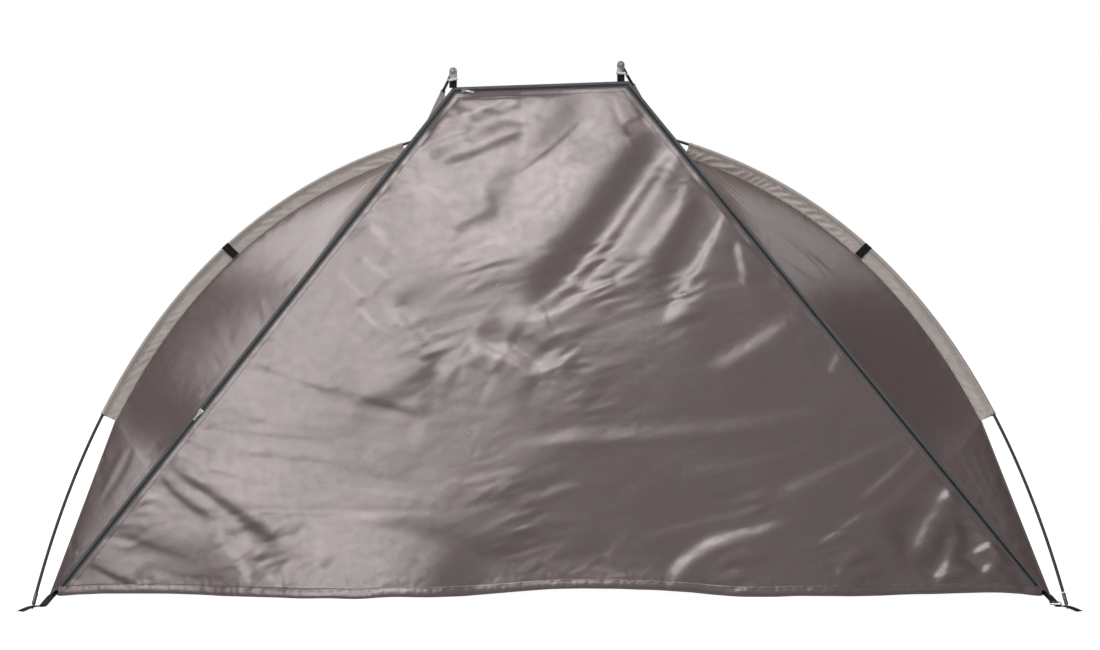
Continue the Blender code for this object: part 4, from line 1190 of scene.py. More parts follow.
# Where the cloth is crumpled: places on the door, their reach, and how steep the creases are there
CRUMPLED = (
    ((0.14, 0.83), 0.12, 0.050),
    ((-0.17, 0.84), 0.10, 0.025),
    ((-0.30, 0.64), 0.10, 0.025),
    ((0.02, 0.62), 0.08, 0.040),
    ((0.34, 0.77), 0.09, 0.050),
    ((0.12, 0.50), 0.12, 0.020),
    ((-0.05, 0.15), 0.13, 0.024),
    ((-0.14, 0.27), 0.10, 0.025),
    ((0.52, 0.22), 0.07, 0.030),
    ((0.48, 0.06), 0.09, 0.040),
    ((0.73, 0.10), 0.12, 0.040),
    ((-0.75, 0.12), 0.12, 0.030),
    ((-0.88, 0.50), 0.06, 0.035),
    ((-1.05, 0.17), 0.08, 0.025),
    ((0.34, 1.07), 0.06, 0.035),
    ((1.03, 0.10), 0.12, 0.020),
)
CRUMPLED_ELSEWHERE = 0.005
# The crumples' width, length and seed
CRUMPLE_SIZES = ((0.042, 0.056, 24), (0.021, 0.030, 27))
CRUMPLE_TURN = (0.75, 0.66)
FINE_GATHERS = 0.0007
FINE_GATHERS_UP = 0.030


def eased(across, knots, half_window=15):
    """Values between knots across the door, without corners. The window is in steps of 5 mm."""
    places, values = np.array(knots).T
    fine = np.linspace(-DOOR_HALF_WIDTH, DOOR_HALF_WIDTH, 501)
    weights = np.hanning(2 * half_window + 1)
    levels = np.pad(np.interp(fine, places, values), half_window, mode="edge")
    return np.interp(across, fine, np.convolve(levels, weights / weights.sum(), mode="valid"))


def inside_seams(across, up):
    """How far places on the door are from its seam."""
    corners = door_corners(0, 0)
    heading = unit(np.diff(corners, axis=0))
    inward = heading[:, ::-1] * (1, -1)
    place = np.stack((across, up), axis=-1)
    return np.min([(place - corner) @ way for corner, way in zip(corners, inward)], axis=0)


def door_relief(across, up):
    """How far the slack cloth of the door stands out from its plane."""
    across, up = np.asarray(across, float), np.asarray(up, float)
    beside = inside_seams(across, up) - SEAM_EDGE
    relief = creased(across, up, DOOR_FOLDS, DOOR_LIGHT)
    relief += 0.0005 * ripples(across / 0.08 + 5, up / 0.08 + 2, 22)
    drag = ripples((across + 0.4 * up) / 0.26 + 8, (up + 0.12 * across) / 0.020 + 8, 23)
    relief += 0.0003 * drag * soft_step(-across / 0.5) * soft_step(up / 0.2) * soft_step((0.75 - up) / 0.2)
    rough = CRUMPLED_ELSEWHERE
    for (centre_across, centre_up), reach, steepness in CRUMPLED:
        away = (across - centre_across) ** 2 + (up - centre_up) ** 2
        rough = rough + steepness * np.exp(-away / reach**2 * 2)
    first, second = CRUMPLE_TURN
    turned = first * across + second * up, first * up - second * across
    for width, length, seed in CRUMPLE_SIZES:
        relief += rough * width * facets(turned[0] / length, turned[1] / width, seed)
    relief *= soft_step(beside / 0.02)
    relief += 0.0030 * ripples(across / 0.35 + 5, up / 0.35 + 2, 21) * soft_step(beside / 0.10)
    gathers = ripples(across / 0.009, up / 0.02, 40) * (0.6 + 0.4 * uneven(across, 0.06, 41))
    relief += FINE_GATHERS * gathers * np.exp(-(((up - FINE_GATHERS_UP) / 0.012) ** 2))
    return relief + seam_puckers(beside, up + 0.31 * across, 26)


def hem_lift(across):
    """How far the hem is off the ground: pulled up by the cloth in places, and uneven."""
    return eased(across, HEM_LIFT) + HEM_UNEVEN * (1 + uneven(across, 0.07, 42))


def above_ground(relief, up):
    """The relief with a soft limit, so that the opened door lies on the ground and doesn't sink into it."""
    room = OPEN_HEIGHT + OPEN_RISE * up + OPEN_ROOM * (1 - soft_step(up / FOLD_UP))
    return room - SOFT_LIMIT * np.logaddexp(0, (room - relief) / SOFT_LIMIT)


def door_place(across, up, out=0.0):
    """Places on the slack cloth of the door, out from its face."""
    slow = eased(across, HEM_FORWARD, 60)
    billow = slow * np.clip(1 - up / BILLOW_UP, 0, 1) ** 1.5
    relief = above_ground(door_relief(across, up) + billow, up) - billow
    lift = hem_lift(across) * (1 - soft_step(up / LIFT_UP))
    places = in_door_plane(across, up) + np.multiply.outer(relief + out, DOOR_OUT)
    places[..., 1] -= billow
    places[..., 1] -= (eased(across, HEM_FORWARD) - slow) * (1 - soft_step(up / HEM_FORM_UP))
    places[..., 2] += lift * soft_step(inside_seams(across, up) / LIFT_FROM_SEAM)
    return places


def round_the_door(insets, foot, pitch):
    """Rows of places beside the door's seam by their insets: up its left side, over, and down its right."""
    corners = np.stack([door_corners(inset, foot) for inset in insets], axis=1)
    rows = []
    for start, end in zip(corners, corners[1:]):
        count = round(np.linalg.norm(end[0] - start[0]) / pitch)
        rows.append(start + (end - start) * (np.arange(count) / count)[:, None, None])
    return np.vstack((*rows, corners[-1:]))


def strip_on_door(insets, outs, foot):
    """A flat strip beside the door's seam from its insets and how far out from the door they are."""
    flat = round_the_door(insets, foot, STRIP_PITCH)
    places = door_place(flat[..., 0], flat[..., 1], np.array(outs))
    return mesh_through(places, lay_of(places), closed=True, capped=True)


def add_door_piece(name, mesh, material=None, slot="taupe_polyester", sharp_angle=40):
    """A piece of the door, without a body, with its place baked into its mesh."""
    piece = add_piece(name, mesh, material or taupe_cloth, slot, body=None, sharp_angle=sharp_angle)
    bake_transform(piece)
    return piece


def door_cloth_mesh():
    """A fine grid cut along the three seams and laid on the slack door."""
    bm = bmesh.new()
    top = max(DOOR_TOP_LEFT[1], DOOR_TOP_RIGHT[1])
    cells = round(2 * DOOR_HALF_WIDTH / DOOR_CELL), round(top / DOOR_CELL)
    size = Matrix.Diagonal((2 * DOOR_HALF_WIDTH, top - DOOR_FOOT, 1, 1))
    place = Matrix.Translation((0, (top + DOOR_FOOT) / 2, 0)) @ size
    bmesh.ops.create_grid(bm, x_segments=cells[0], y_segments=cells[1], size=0.5, matrix=place)
    corners = door_corners(DOOR_CLOTH_INSET, 0)
    for start, end in zip(corners, corners[1:]):
        outward = Vector((start[1] - end[1], end[0] - start[0], 0))
        geom = bm.verts[:] + bm.edges[:] + bm.faces[:]
        side = {"plane_co": (*start, 0), "plane_no": outward, "clear_outer": True}
        bmesh.ops.bisect_plane(bm, geom=geom, dist=1e-6, **side)
    mesh = mesh_from(bm)
    flat = corners_of(mesh)[:, :2].astype(float)
    lay_out(mesh, flat)
    mesh.vertices.foreach_set("co", door_place(flat[:, 0], flat[:, 1]).astype(np.float32).ravel())
    mesh.flip_normals()
    mesh.update()
    return mesh


door_cloth = add_door_piece("door_cloth", door_cloth_mesh(), sharp_angle=180)
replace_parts(door_cloth, "door_panel")
door_facing = add_door_piece("door_facing", strip_on_door(FACING_INSETS, FACING_OUTS, FACING_FOOT))
flat = round_the_door(STITCH_INSETS, FACING_FOOT, STRIP_PITCH)
places = door_place(flat[..., 0], flat[..., 1], STITCH_OUT)
stitches = beads([(row, np.broadcast_to(DOOR_OUT, row.shape)) for row in places.swapaxes(0, 1)])
door_stitches = add_door_piece("door_stitches", stitches, taupe_thread, sharp_angle=180)


# Hem and floor
# The foot of the door and the edge of the floor are closed together in one folded binding, with
# a row of stitches that gathers it a little. It bows forward and lifts where the cloth pulls it.
# The floor is a sheet of woven polyethylene that follows the hem.
HEM_HALF_LENGTH = 1.243
HEM_PITCH = 0.004
HEM_GATHER = 0.0004
HEM_GATHER_PITCH = 0.008
HEM_FOLD = 0.022
HEM_PROFILE = (
    (-0.0022, 0.0006),
    (-0.0012, 0.0014),
    (0.0040, 0.0020),
    (0.0080, 0.0022),
    (0.0120, 0.0021),
    (0.0160, 0.0018),
    (0.0190, 0.0014),
    (0.0222, 0.0015),
    (0.0234, 0.0007),
    (0.0234, -0.0006),
    (0.0222, -0.0011),
    (-0.0012, -0.0011),
    (-0.0022, -0.0004),
    (-0.0022, 0.0006),
)
HEM_STITCH_UP = 0.0188
HEM_STITCH_OUT = 0.0017
FLOOR_PITCH = 0.012
FLOOR_TOP = 0.0018
FLOOR_CLOTH = 0.0008
FLOOR_FRONT = 0.0036
FLOOR_BEHIND_CORNER = 0.002
FLOOR_LIFT_BEHIND = 0.22
FLOOR_WAVES = 0.0012

across = np.linspace(-HEM_HALF_LENGTH, HEM_HALF_LENGTH, round(2 * HEM_HALF_LENGTH / HEM_PITCH) + 1)
up, out = np.array(HEM_PROFILE).T
gathers = ripples(across / HEM_GATHER_PITCH + 7, 0 * across, 43)[:, None]
gathers = HEM_GATHER * gathers * np.sin(math.pi * np.clip(up / HEM_FOLD, 0, 1))
places = door_place(across[:, None] + 0 * up, 0 * across[:, None] + up, out + gathers * (out > 0))
hem = add_door_piece("hem_binding", mesh_through(places, lay_of(places), closed=True, capped=True))
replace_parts(hem, "hem_roll")
path = door_place(across, 0 * across + HEM_STITCH_UP, HEM_STITCH_OUT)
stitches = beads([(path, np.broadcast_to(DOOR_OUT, path.shape))])
hem_stitches = add_door_piece("hem_stitches", stitches, taupe_thread, sharp_angle=180)


def woven_finish(name, colours, gloss, waves, threads, depth, strength, specular=0.5):
    """Woven tapes or threads with a soft shine, by their number per metre and how deep they are."""
    finish = clouded_finish(name, on_cloth, waves, colours, gloss, {"Specular IOR Level": specular})
    material, tree, shader, _ = finish
    bumped(tree, shader, weave(tree, threads)["Height"], depth, strength)
    return material


FLOOR_COLOURS = (0.070, 0.066, 0.064), (0.105, 0.098, 0.094)
polyethylene = woven_finish(
    "woven_polyethylene", FLOOR_COLOURS, (0.38, 0.55), (4.0, 60.0), threads=240.0, depth=0.0002, strength=0.6
)
half = DOOR_HALF_WIDTH + TENT_CORNER_OUT
across = np.linspace(-half, half, round(2 * half / FLOOR_PITCH) + 1)
front = at(0, FLOOR_FRONT, FLOOR_TOP) + across[:, None] * RIGHT
front[:, 1] -= eased(across, HEM_FORWARD)
share = np.linspace(0, 1, len(across))[:, None]
back = floor_corners["left"] + (floor_corners["right"] - floor_corners["left"]) * share
back[:, 1] += FLOOR_BEHIND_CORNER
back[:, 2] = FLOOR_TOP
depth = back[0, 1] - front[0, 1]
rows = np.linspace(0, 1, round(depth / FLOOR_PITCH) + 1)
places = patch(front, back, rows, 0)
lay = lay_of(places)
inner = soft_step(np.sin(math.pi * share) * np.sin(math.pi * rows) * 12)
places[..., 2] += FLOOR_WAVES * inner * (ripples(lay[..., 0] / 0.12, lay[..., 1] / 0.15, 61) + 0.4)
places[..., 2] += hem_lift(across)[:, None] * (1 - soft_step(rows * depth / FLOOR_LIFT_BEHIND))
floor_sheet = add_piece("floor_sheet", mesh_through(places, lay), polyethylene, "groundsheet")
thicken(floor_sheet, FLOOR_CLOTH)
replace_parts(floor_sheet, "groundsheet")


# Zip
# A nylon coil zip on woven tape. One half is sewn to the door, the other to the tent, and the two
# run up the left side, over the top and down the right side. Each half is a tape with the small
# loops of its coil along the edge.
TAPE_INSETS = (0.0030, 0.0033, 0.0098, 0.0101, 0.0098, 0.0033, 0.0030)
TAPE_OUTS = (0, 0.0005, 0.0005, 0, -0.0004, -0.0004, 0)
TOOTH_PITCH = 0.0026
TOOTH_INSET = 0.0019
TOOTH_SIZE = (0.0012, 0.0032, 0.0016)
TOOTH_OUT = 0.0009

TAPE_COLOURS = (0.20, 0.20, 0.215), (0.275, 0.272, 0.29)
zip_tape = woven_finish(
    "zip_tape_weave",
    TAPE_COLOURS,
    (0.55, 0.7),
    (9.0, 160.0),
    threads=1100.0,
    depth=0.00003,
    strength=0.8,
    specular=0.3,
)
# The coil's nylon is dark and smooth, and worn a little paler
COIL_COLOURS = (0.115, 0.120, 0.135), (0.180, 0.187, 0.205)
nylon, *_ = clouded_finish("nylon_coil", on_object, (14.0, 500.0), COIL_COLOURS, (0.32, 0.5))


def teeth(inset, foot, late):
    """The loops of one half of the coil, each a short block across its edge of the tape."""
    flat = round_the_door((inset,), foot, TOOTH_PITCH)[:, 0]
    flat = along(flat, np.arange(late, reached(flat)[-1] - TOOTH_PITCH, TOOTH_PITCH))
    spots = door_place(flat[:, 0], flat[:, 1], TOOTH_OUT)
    way = unit(np.gradient(spots, axis=0))
    aside = unit(np.cross(DOOR_OUT, way))
    axes = np.stack((way, aside, np.cross(way, aside)), axis=1) * np.array(TOOTH_SIZE)[:, None]
    bm = bmesh.new()
    bmesh.ops.create_cube(bm, size=1.0)
    return copies(mesh_from(bm), spots, axes)


for half, sign, foot, late in (("door", 1, DOOR_FOOT, 0), ("tent", -1, ZIP_LOWEST, TOOTH_PITCH / 2)):
    add = add_door_piece if half == "door" else add_piece
    tape = strip_on_door(np.array(TAPE_INSETS) * sign, TAPE_OUTS, foot)
    tape = add(f"{half}_zip_tape", tape, zip_tape, "zip_tape")
    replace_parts(tape, *[f"{half}_zip_{side}" for side in ("left", "top", "right")])
    add(f"{half}_zip_coil", teeth(TOOTH_INSET * sign, foot, late), nylon, "zip_tape")


# Sliders
# Die-cast sliders, one on the left side and one at the left top corner. Each has a shield before
# and behind the coil, a neck between them, a bridge, and a pull tab with two holes hung from it.
LEFT_SLIDER_UP_SEAM = 0.583
TOP_SLIDER_FROM_CORNER = 0.026
SLIDER_LENGTH = 0.018
SLIDER_HALF_WIDTH = 0.0065
SLIDER_PLATE = 0.002
SLIDER_INNER = 0.0023
SLIDER_OUTER = SLIDER_INNER + SLIDER_PLATE
# Half outlines, as pairs of how far up and how far aside, the shield's in shares of its sizes
SHIELD = ((-0.5, 0.50), (-0.36, 0.62), (-0.1, 0.80), (0.15, 1.0), (0.38, 1.0), (0.5, 0.78))
NECK = ((-0.001, 0.0002), (0.0072, 0.0002))
NECK_OVERLAP = 0.0005
PULL = ((0.0, 0.0021), (-0.003, 0.003), (-0.012, 0.0031), (-0.016, 0.0023), (-0.027, 0.0032), (-0.03, 0.0022))
PULL_HOLES = ((-0.0060, 0.0014), (-0.0245, 0.0017))
PULL_THICKNESS = 0.0012
PULL_OUT = 0.0010
PULL_SWING = {"left": 0.0, "top": math.radians(14)}
# The bridge, up along the slider and out from its front shield
BRIDGE = (
    (-0.0052, -0.0004),
    (-0.0050, 0.0022),
    (-0.003, 0.0034),
    (0.003, 0.0034),
    (0.0055, 0.0020),
    (0.0062, -0.0004),
)
BRIDGE_STEPS = 24
BRIDGE_RADIUS = 0.0011


def mirrored(half_outline):
    """A closed outline from the half of it on one side, as pairs of length and half width."""
    right = [(side, length) for length, side in half_outline]
    return right + [(-side, length) for side, length in right[::-1]]


def plate(outlines, thickness, place, bevel):
    """A flat plate from its outline and the outlines of its holes, with its edges rounded."""
    bm = bmesh.new()
    edges = []
    for outline in outlines:
        corners = [bm.verts.new((*point, 0)) for point in outline]
        edges += [bm.edges.new((corners[index - 1], corners[index])) for index in range(len(corners))]
    bmesh.ops.triangle_fill(bm, edges=edges, use_beauty=True, use_dissolve=False)
    extruded = bmesh.ops.extrude_face_region(bm, geom=bm.faces[:])["geom"]
    raised = [part for part in extruded if isinstance(part, bmesh.types.BMVert)]
    bmesh.ops.translate(bm, vec=(0, 0, thickness), verts=raised)
    bmesh.ops.recalc_face_normals(bm, faces=bm.faces)
    rims = [edge for edge in bm.edges if edge.is_manifold and edge.calc_face_angle() > 1]
    bmesh.ops.bevel(
        bm, geom=rims, offset=bevel, segments=2, profile=0.5, affect="EDGES", material=-1, clamp_overlap=True
    )
    bmesh.ops.transform(bm, matrix=place, verts=bm.verts)
    return mesh_from(bm)


def round_hole(centre, radius, count=16):
    """The outline of a hole in a plate."""
    return [tuple(point) for point in centre + circle(radius, count)[:-1]]


def axes_place(spot, across, up, out):
    """A matrix from a place and its three directions."""
    place = Matrix.Translation(Vector(spot))
    for column, axis in enumerate((across, up, out)):
        place.col[column][:3] = axis
    return place


cast_zinc = plated_steel("cast_zinc", ((0.74, 0.74, 0.73), (0.92, 0.92, 0.91)), (0.38, 0.52))
corners = door_corners(0, 0)
for side, start, towards, reach, finish in (
    ("left", corners[0], corners[1], LEFT_SLIDER_UP_SEAM, cast_zinc),
    ("top", corners[1], corners[2], TOP_SLIDER_FROM_CORNER, steel),
):
    heading = unit(towards - start)
    centre = in_door_plane(*(start + heading * reach))
    heading = heading if side == "left" else -heading
    up = heading[0] * RIGHT + heading[1] * DOOR_UP
    across = np.cross(up, DOOR_OUT)
    shield = mirrored([(length * SLIDER_LENGTH, width * SLIDER_HALF_WIDTH) for length, width in SHIELD])
    low = NECK_OVERLAP + SLIDER_INNER
    parts = []
    for outline, level, thickness, bevel in (
        (shield, SLIDER_INNER, SLIDER_PLATE, 0.0006),
        (shield, -SLIDER_OUTER, SLIDER_PLATE, 0.0006),
        (mirrored(NECK), -low, 2 * low, 0.00005),
    ):
        place = axes_place(centre + DOOR_OUT * level, across, up, DOOR_OUT)
        parts.append(plate([outline], thickness, place, bevel))
    bridge = [centre + up * length + DOOR_OUT * (SLIDER_OUTER + out) for length, out in BRIDGE]
    bridge = respaced(np.array(bridge), BRIDGE_STEPS)
    parts.append(bar_along(bridge, across, circle(BRIDGE_RADIUS, 12)))
    body = add_piece(f"{side}_slider_body", joined(parts), finish, "steel", body=f"{side}_slider")
    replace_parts(body, f"{side}_slider")
    hung = centre + up * SLIDER_LENGTH / 4 + DOOR_OUT * (SLIDER_OUTER + PULL_OUT)
    holes = [round_hole((0, level), radius) for level, radius in PULL_HOLES]
    lean, upright = math.sin(PULL_SWING[side]), math.cos(PULL_SWING[side])
    turned = across * upright - up * lean, up * upright + across * lean
    pull = plate([mirrored(PULL), *holes], PULL_THICKNESS, axes_place(hung, *turned, DOOR_OUT), 0.0004)
    pull = add_piece(f"{side}_slider_pull", pull, cast_zinc, "steel", body=f"{side}_slider")
    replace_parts(pull, f"{side}_pull_tab")


# Top fittings
# At each top corner of the door a strap of black webbing runs up through a flat bar, and a steel
# plate with an eyelet stands on it. The rear pole's nib goes through the eyelet into a bright knob.
PLATE_WIDTH = 0.020
PLATE_THICKNESS = 0.0015
PLATE_BELOW_HOLE = 0.020
PLATE_HOLE_RADIUS = 0.0036
# The eyelet's rolled rim, as pairs of how far out from the hole's edge and how far along its axis
PLATE_RIM = (
    (0.0002, -0.0013),
    (0.0014, -0.0013),
    (0.0019, -0.0010),
    (0.0019, 0.0010),
    (0.0014, 0.0013),
    (0.0002, 0.0013),
    (0.0002, -0.0013),
)
KNOB_RADIUS = 0.0046
KNOB_HEIGHT = 0.0032
KNOB_DOME = 0.0024
KNOB_NECK = 0.0021
KNOB_NECK_END = 0.004
BAR_SIZE = (0.025, 0.0078, 0.0035)
BAR_OUT = 0.0030
BAR_STEPS = 10
BAR_TILT = {"left": math.radians(13), "right": math.radians(-4)}
WEBBING_WIDTH = 0.020
WEBBING_THICKNESS = 0.0016
WEBBING_STEP = 0.0025
CORNER_CUTS = 3
TOP_WEBBING_THICKNESS = 0.0013
TOUCH = 0.0003


def band_outline(width, thickness):
    """The rounded outline of a flat strap, its thickness first."""
    corner = thickness * 0.3
    side = width / 2
    half = thickness / 2
    quarter = [
        (half, side - corner * 2.5),
        (half - corner * 0.4, side - corner * 0.6),
        (half - corner, side),
    ]
    upper = quarter + [(-out, reach) for out, reach in quarter[::-1]]
    lower = [(-out, -reach) for out, reach in upper]
    return np.array(upper + [(-half, 0.0)] + lower + [(half, 0.0), upper[0]])


def cut_corners(path):
    """A chain with its corners rounded off by cutting them again and again."""
    path = np.array(path, float)
    for _ in range(CORNER_CUTS):
        first, second = path[:-1], path[1:]
        cut = np.stack((first * 0.75 + second * 0.25, first * 0.25 + second * 0.75), axis=1)
        path = np.vstack((path[:1], cut.reshape(-1, 3), path[-1:]))
    return path


def band(path, out, thickness=WEBBING_THICKNESS):
    """A flat strap of webbing along a path, with its face towards out."""
    path = cut_corners(path)
    path = respaced(path, max(8, round(reached(path)[-1] / WEBBING_STEP)))
    return bar_along(path, out, band_outline(WEBBING_WIDTH, thickness))


WEBBING_COLOURS = (0.014, 0.014, 0.016), (0.030, 0.030, 0.033)
webbing = woven_finish(
    "black_webbing_weave",
    WEBBING_COLOURS,
    (0.6, 0.8),
    (9.0, 160.0),
    threads=520.0,
    depth=0.0003,
    strength=0.8,
    specular=0.3,
)
bright_steel = plated_steel("bright_steel", ((0.86, 0.86, 0.85), (0.97, 0.97, 0.96)), (0.45, 0.6))
strap_corners = in_door_plane(*door_corners(-SEAM_EDGE, 0).T)
for side, corner in (("left", strap_corners[1]), ("right", strap_corners[2])):
    centre = rears[side][0]
    half = PLATE_WIDTH / 2
    top = [(half * math.cos(angle), half * math.sin(angle)) for angle in np.linspace(0, math.pi, 17)]
    outline = top + [(-half, -PLATE_BELOW_HOLE), (half, -PLATE_BELOW_HOLE)]
    place = axes_place(centre - DOOR_OUT * PLATE_THICKNESS / 2, RIGHT, DOOR_UP, DOOR_OUT)
    hole = round_hole((0, 0), PLATE_HOLE_RADIUS, 20)
    rim = [(PLATE_HOLE_RADIUS + reach, length) for reach, length in PLATE_RIM]
    parts = [plate([outline, hole], PLATE_THICKNESS, place, 0.0003), spun(centre, DOOR_OUT, rim)]
    eyelet = add_piece(f"{side}_eyelet", joined(parts), steel, "steel")
    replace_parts(eyelet, f"{side}_eyelet_plate")
    base = -PLATE_THICKNESS / 2
    knob = [(radius, base - KNOB_HEIGHT + length) for radius, length in dome(KNOB_RADIUS, KNOB_DOME)]
    knob += [(KNOB_RADIUS, base - 0.0002), (KNOB_NECK, base), (KNOB_NECK, KNOB_NECK_END), (0, KNOB_NECK_END)]
    add_piece(f"{side}_knob", spun(centre, -DOOR_OUT, knob), bright_steel, "steel")

    width, height, depth = BAR_SIZE
    top_of_bar = centre - DOOR_UP * (PLATE_BELOW_HOLE + TOUCH)
    middle = top_of_bar - DOOR_UP * height / 2
    level = RIGHT * math.cos(BAR_TILT[side]) + DOOR_UP * math.sin(BAR_TILT[side])
    path = respaced(np.stack((middle - level * width / 2, middle + level * width / 2)), BAR_STEPS)
    bar = bar_along(path + DOOR_OUT * BAR_OUT, DOOR_OUT, circle(1.0) * (depth / 2, height / 2))
    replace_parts(add_piece(f"{side}_bar", bar, bright_steel, "steel"), f"{side}_strap_bar")

    foot = top_of_bar - DOOR_UP * ((top_of_bar - corner) @ DOOR_UP)
    loop = [
        foot + DOOR_OUT * 0.0008,
        middle - DOOR_UP * height / 2 + DOOR_OUT * 0.0004,
        middle + DOOR_UP * height / 2 + DOOR_OUT * 0.0004,
        middle + DOOR_UP * (height / 2 + 0.001) - DOOR_OUT * 0.0014,
        middle + DOOR_UP * height / 2 - DOOR_OUT * 0.0032,
        middle - DOOR_UP * height / 2 - DOOR_OUT * 0.0032,
        foot - DOOR_OUT * 0.0012,
    ]
    strap = band(loop, DOOR_OUT, TOP_WEBBING_THICKNESS)
    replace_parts(add_piece(f"{side}_top_webbing", strap, webbing, "black_webbing"), f"{side}_top_strap")


# Ground straps
# Black webbing at the four corners of the floor. Its eyelets are steel and the nib of a pole stands
# in each. At the right front a wire ring joins the eyelet strap to the corner.
STRAP_HEIGHT = 0.007
STRAP_END_HEIGHT = 0.0035
SEWN_END_HEIGHT = 0.0012
FRONT_HOLE_RADIUS = 0.0036
REAR_HOLE_RADIUS = 0.0028
EYELET_HALF = 0.0012
EYELET_ROLL = 0.0003
EYELET_WIDTH = 0.0026
EYELET_FLAT = 0.009
# How far aside and behind a front eyelet its strap is sewn, and how far its tail lies the other way
FRONT_SEWN = (-0.020, 0.026)
FRONT_TAIL = (0.021, -0.036)
FRONT_SEWN_LENGTH = 0.012
REAR_TAIL = 0.034
REAR_SEWN_LENGTH = 0.008
# The corner strap's sewn end and its fold, behind the hem, and its free end
CORNER_STRAP = (0.022, -0.008)
CORNER_STRAP_PAST = 0.007
TO_RING = (0.004, 0.030)
RING_WIDTH = 0.026
RING_WIRE = 0.0012
RING_CORNER = 0.006
RING_STEPS = 90
LEVEL = np.array((1.0, 1.0, 0.0))


def eyelet_ring(centre, radius):
    """A rolled ring through a strap, on both of its faces."""
    roll = EYELET_HALF + EYELET_ROLL
    shape = [(0.0001, -EYELET_HALF), (0.0014, -roll), (EYELET_WIDTH, -EYELET_HALF)]
    shape += [(reach, -length) for reach, length in shape[::-1]] + shape[:1]
    return spun(centre, UP, [(radius + reach, length) for reach, length in shape])


def eyelet_strap(name, start, sewn, hole, tail, radius):
    """A strap from its sewn end up to the eyelet on a pole's nib, and down to its tail."""
    outward = unit((hole - start) * LEVEL)
    flat = outward * EYELET_FLAT
    path = [start, start + outward * sewn, hole - flat, hole + flat, tail]
    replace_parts(add_piece(f"{name}_webbing", band(path, UP), webbing, "black_webbing"), name)
    add_piece(f"{name}_eyelet", eyelet_ring(hole, radius), steel, "steel")


def above_foot(pole, fine):
    """The place on a pole, whose foot is its first point, at the height where its eyelet lies."""
    rise = unit(pole[fine] - pole[0])
    return pole[0] + rise * (STRAP_HEIGHT / rise[2])


def ring_wire(first, second):
    """A long wire ring with round corners over the ends of two straps."""
    heading = unit(second - first)
    aside = np.cross(UP, heading)
    middle = (first + second) / 2 + UP * (WEBBING_THICKNESS / 2 + RING_WIRE + TOUCH)
    straight = np.linalg.norm(second - first) / 2 + 2 * RING_WIRE - RING_CORNER
    points = []
    for turn, (ahead, beside) in enumerate(((1, 1), (-1, 1), (-1, -1), (1, -1))):
        centre = middle + heading * ahead * straight + aside * beside * (RING_WIDTH / 2 - RING_CORNER)
        for angle in np.radians(90 * turn + np.linspace(0, 90, 7)):
            points.append(centre + (heading * math.cos(angle) + aside * math.sin(angle)) * RING_CORNER)
    seam = (points[0] + points[-1]) / 2
    path = respaced(np.vstack((seam, points, seam)), RING_STEPS)
    out = np.broadcast_to(UP, path.shape)
    return mesh_through(*swept(path, out, circle(RING_WIRE, 12)), closed=True)


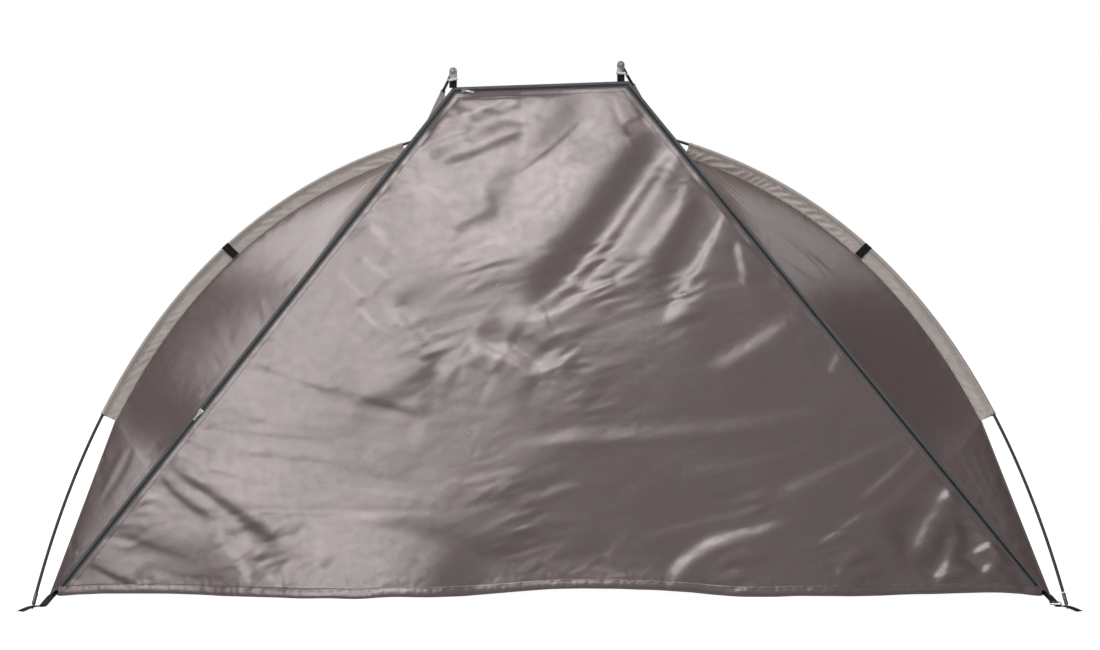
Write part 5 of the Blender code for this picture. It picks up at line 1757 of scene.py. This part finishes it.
for side, sign, pole in (("left", -1, arch), ("right", 1, arch[::-1])):
    hole = above_foot(pole, ARCH_FINE)
    inner = (hole + (sign * FRONT_SEWN[0], FRONT_SEWN[1], 0)) * LEVEL + UP * STRAP_END_HEIGHT
    tail = (hole + (sign * FRONT_TAIL[0], FRONT_TAIL[1], 0)) * LEVEL + UP * STRAP_END_HEIGHT
    eyelet_strap(f"{side}_front_strap", inner, FRONT_SEWN_LENGTH, hole, tail, FRONT_HOLE_RADIUS)

    corner_x = sign * (DOOR_HALF_WIDTH + WEBBING_WIDTH / 2 + 2 * TOUCH)
    path = [at(corner_x, behind, SEWN_END_HEIGHT) for behind in CORNER_STRAP]
    if side == "left":
        over = STRAP_END_HEIGHT + WEBBING_THICKNESS + TOUCH
        end = inner + unit(inner - path[1]) * CORNER_STRAP_PAST
        path += [inner * LEVEL + (0, 0.006, over), end * LEVEL + UP * over]
    else:
        near = inner + (*TO_RING, 0)
        path += [near + (0.001, 0.012, 0), near]
        ring = add_piece("right_ring", ring_wire(near, inner), steel, "steel")
        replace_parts(ring, "right_strap_ring")
    strap = add_piece(f"{side}_corner_webbing", band(path, UP), webbing, "black_webbing")
    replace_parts(strap, f"{side}_corner_strap")

    hole = above_foot(rears[side][::-1], REAR_FINE)
    outward = unit((hole - floor_corners[side]) * LEVEL)
    start = (floor_corners[side] + outward * 2 * TOUCH) * LEVEL + UP * SEWN_END_HEIGHT
    tail = (hole + outward * REAR_TAIL) * LEVEL + UP * STRAP_END_HEIGHT
    eyelet_strap(f"{side}_rear_strap", start, REAR_SEWN_LENGTH, hole, tail, REAR_HOLE_RADIUS)


# Hook tabs
# A short black tab folded round each front sleeve a little over half way up and sewn down at the
# seam, with a bound edge.
TAB_WIDTH = 0.0225
TAB_THICKNESS = 0.0012
TAB_STATION = 16
TAB_LAP = 0.0047
TAB_NEAREST = 0.0085
TAB_FROM_SEAM = 0.001
TAB_GAP = 50

near = SLEEVE_RADIUS + HEM_STEP + TOUCH
angles = np.radians(np.linspace(TAB_GAP, 360 - TAB_GAP, 19))
reach = np.linspace(TAB_NEAREST, SLEEVE_WIDTH - TAB_FROM_SEAM, 6)
round_sleeve = near * np.stack((np.cos(angles), np.sin(angles)), axis=1)
layer = np.stack((reach, 0 * reach - TAB_LAP), axis=1)
inner = np.vstack((layer[::-1] * (1, -1), round_sleeve, layer))
outer = inner - unit(np.gradient(inner, axis=0))[:, ::-1] * (1, -1) * TAB_THICKNESS
outline = np.vstack((inner, outer[::-1], inner[:1]))
for side, pole in (("left", arch), ("right", arch[::-1])):
    middle = TAB_STATION * ARCH_FINE + ARCH_FINE // 2
    span = slice(middle - ARCH_FINE, middle + ARCH_FINE + 1)
    stretch, inward = pole[span], inwards(pole, ARCH_SLEEVE_BEHIND)[span]
    marks = np.concatenate(([-1.0], np.linspace(-0.96, 0.96, 9), [1.0])) * TAB_WIDTH / 2
    marks = reached(stretch)[-1] / 2 + marks
    tab = bar_along(along(stretch, marks), along(stretch, marks, inward), outline)
    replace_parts(add_piece(f"{side}_tab", tab, webbing, "black_webbing"), f"{side}_hook_tab")

box = [list(corner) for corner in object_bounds()]
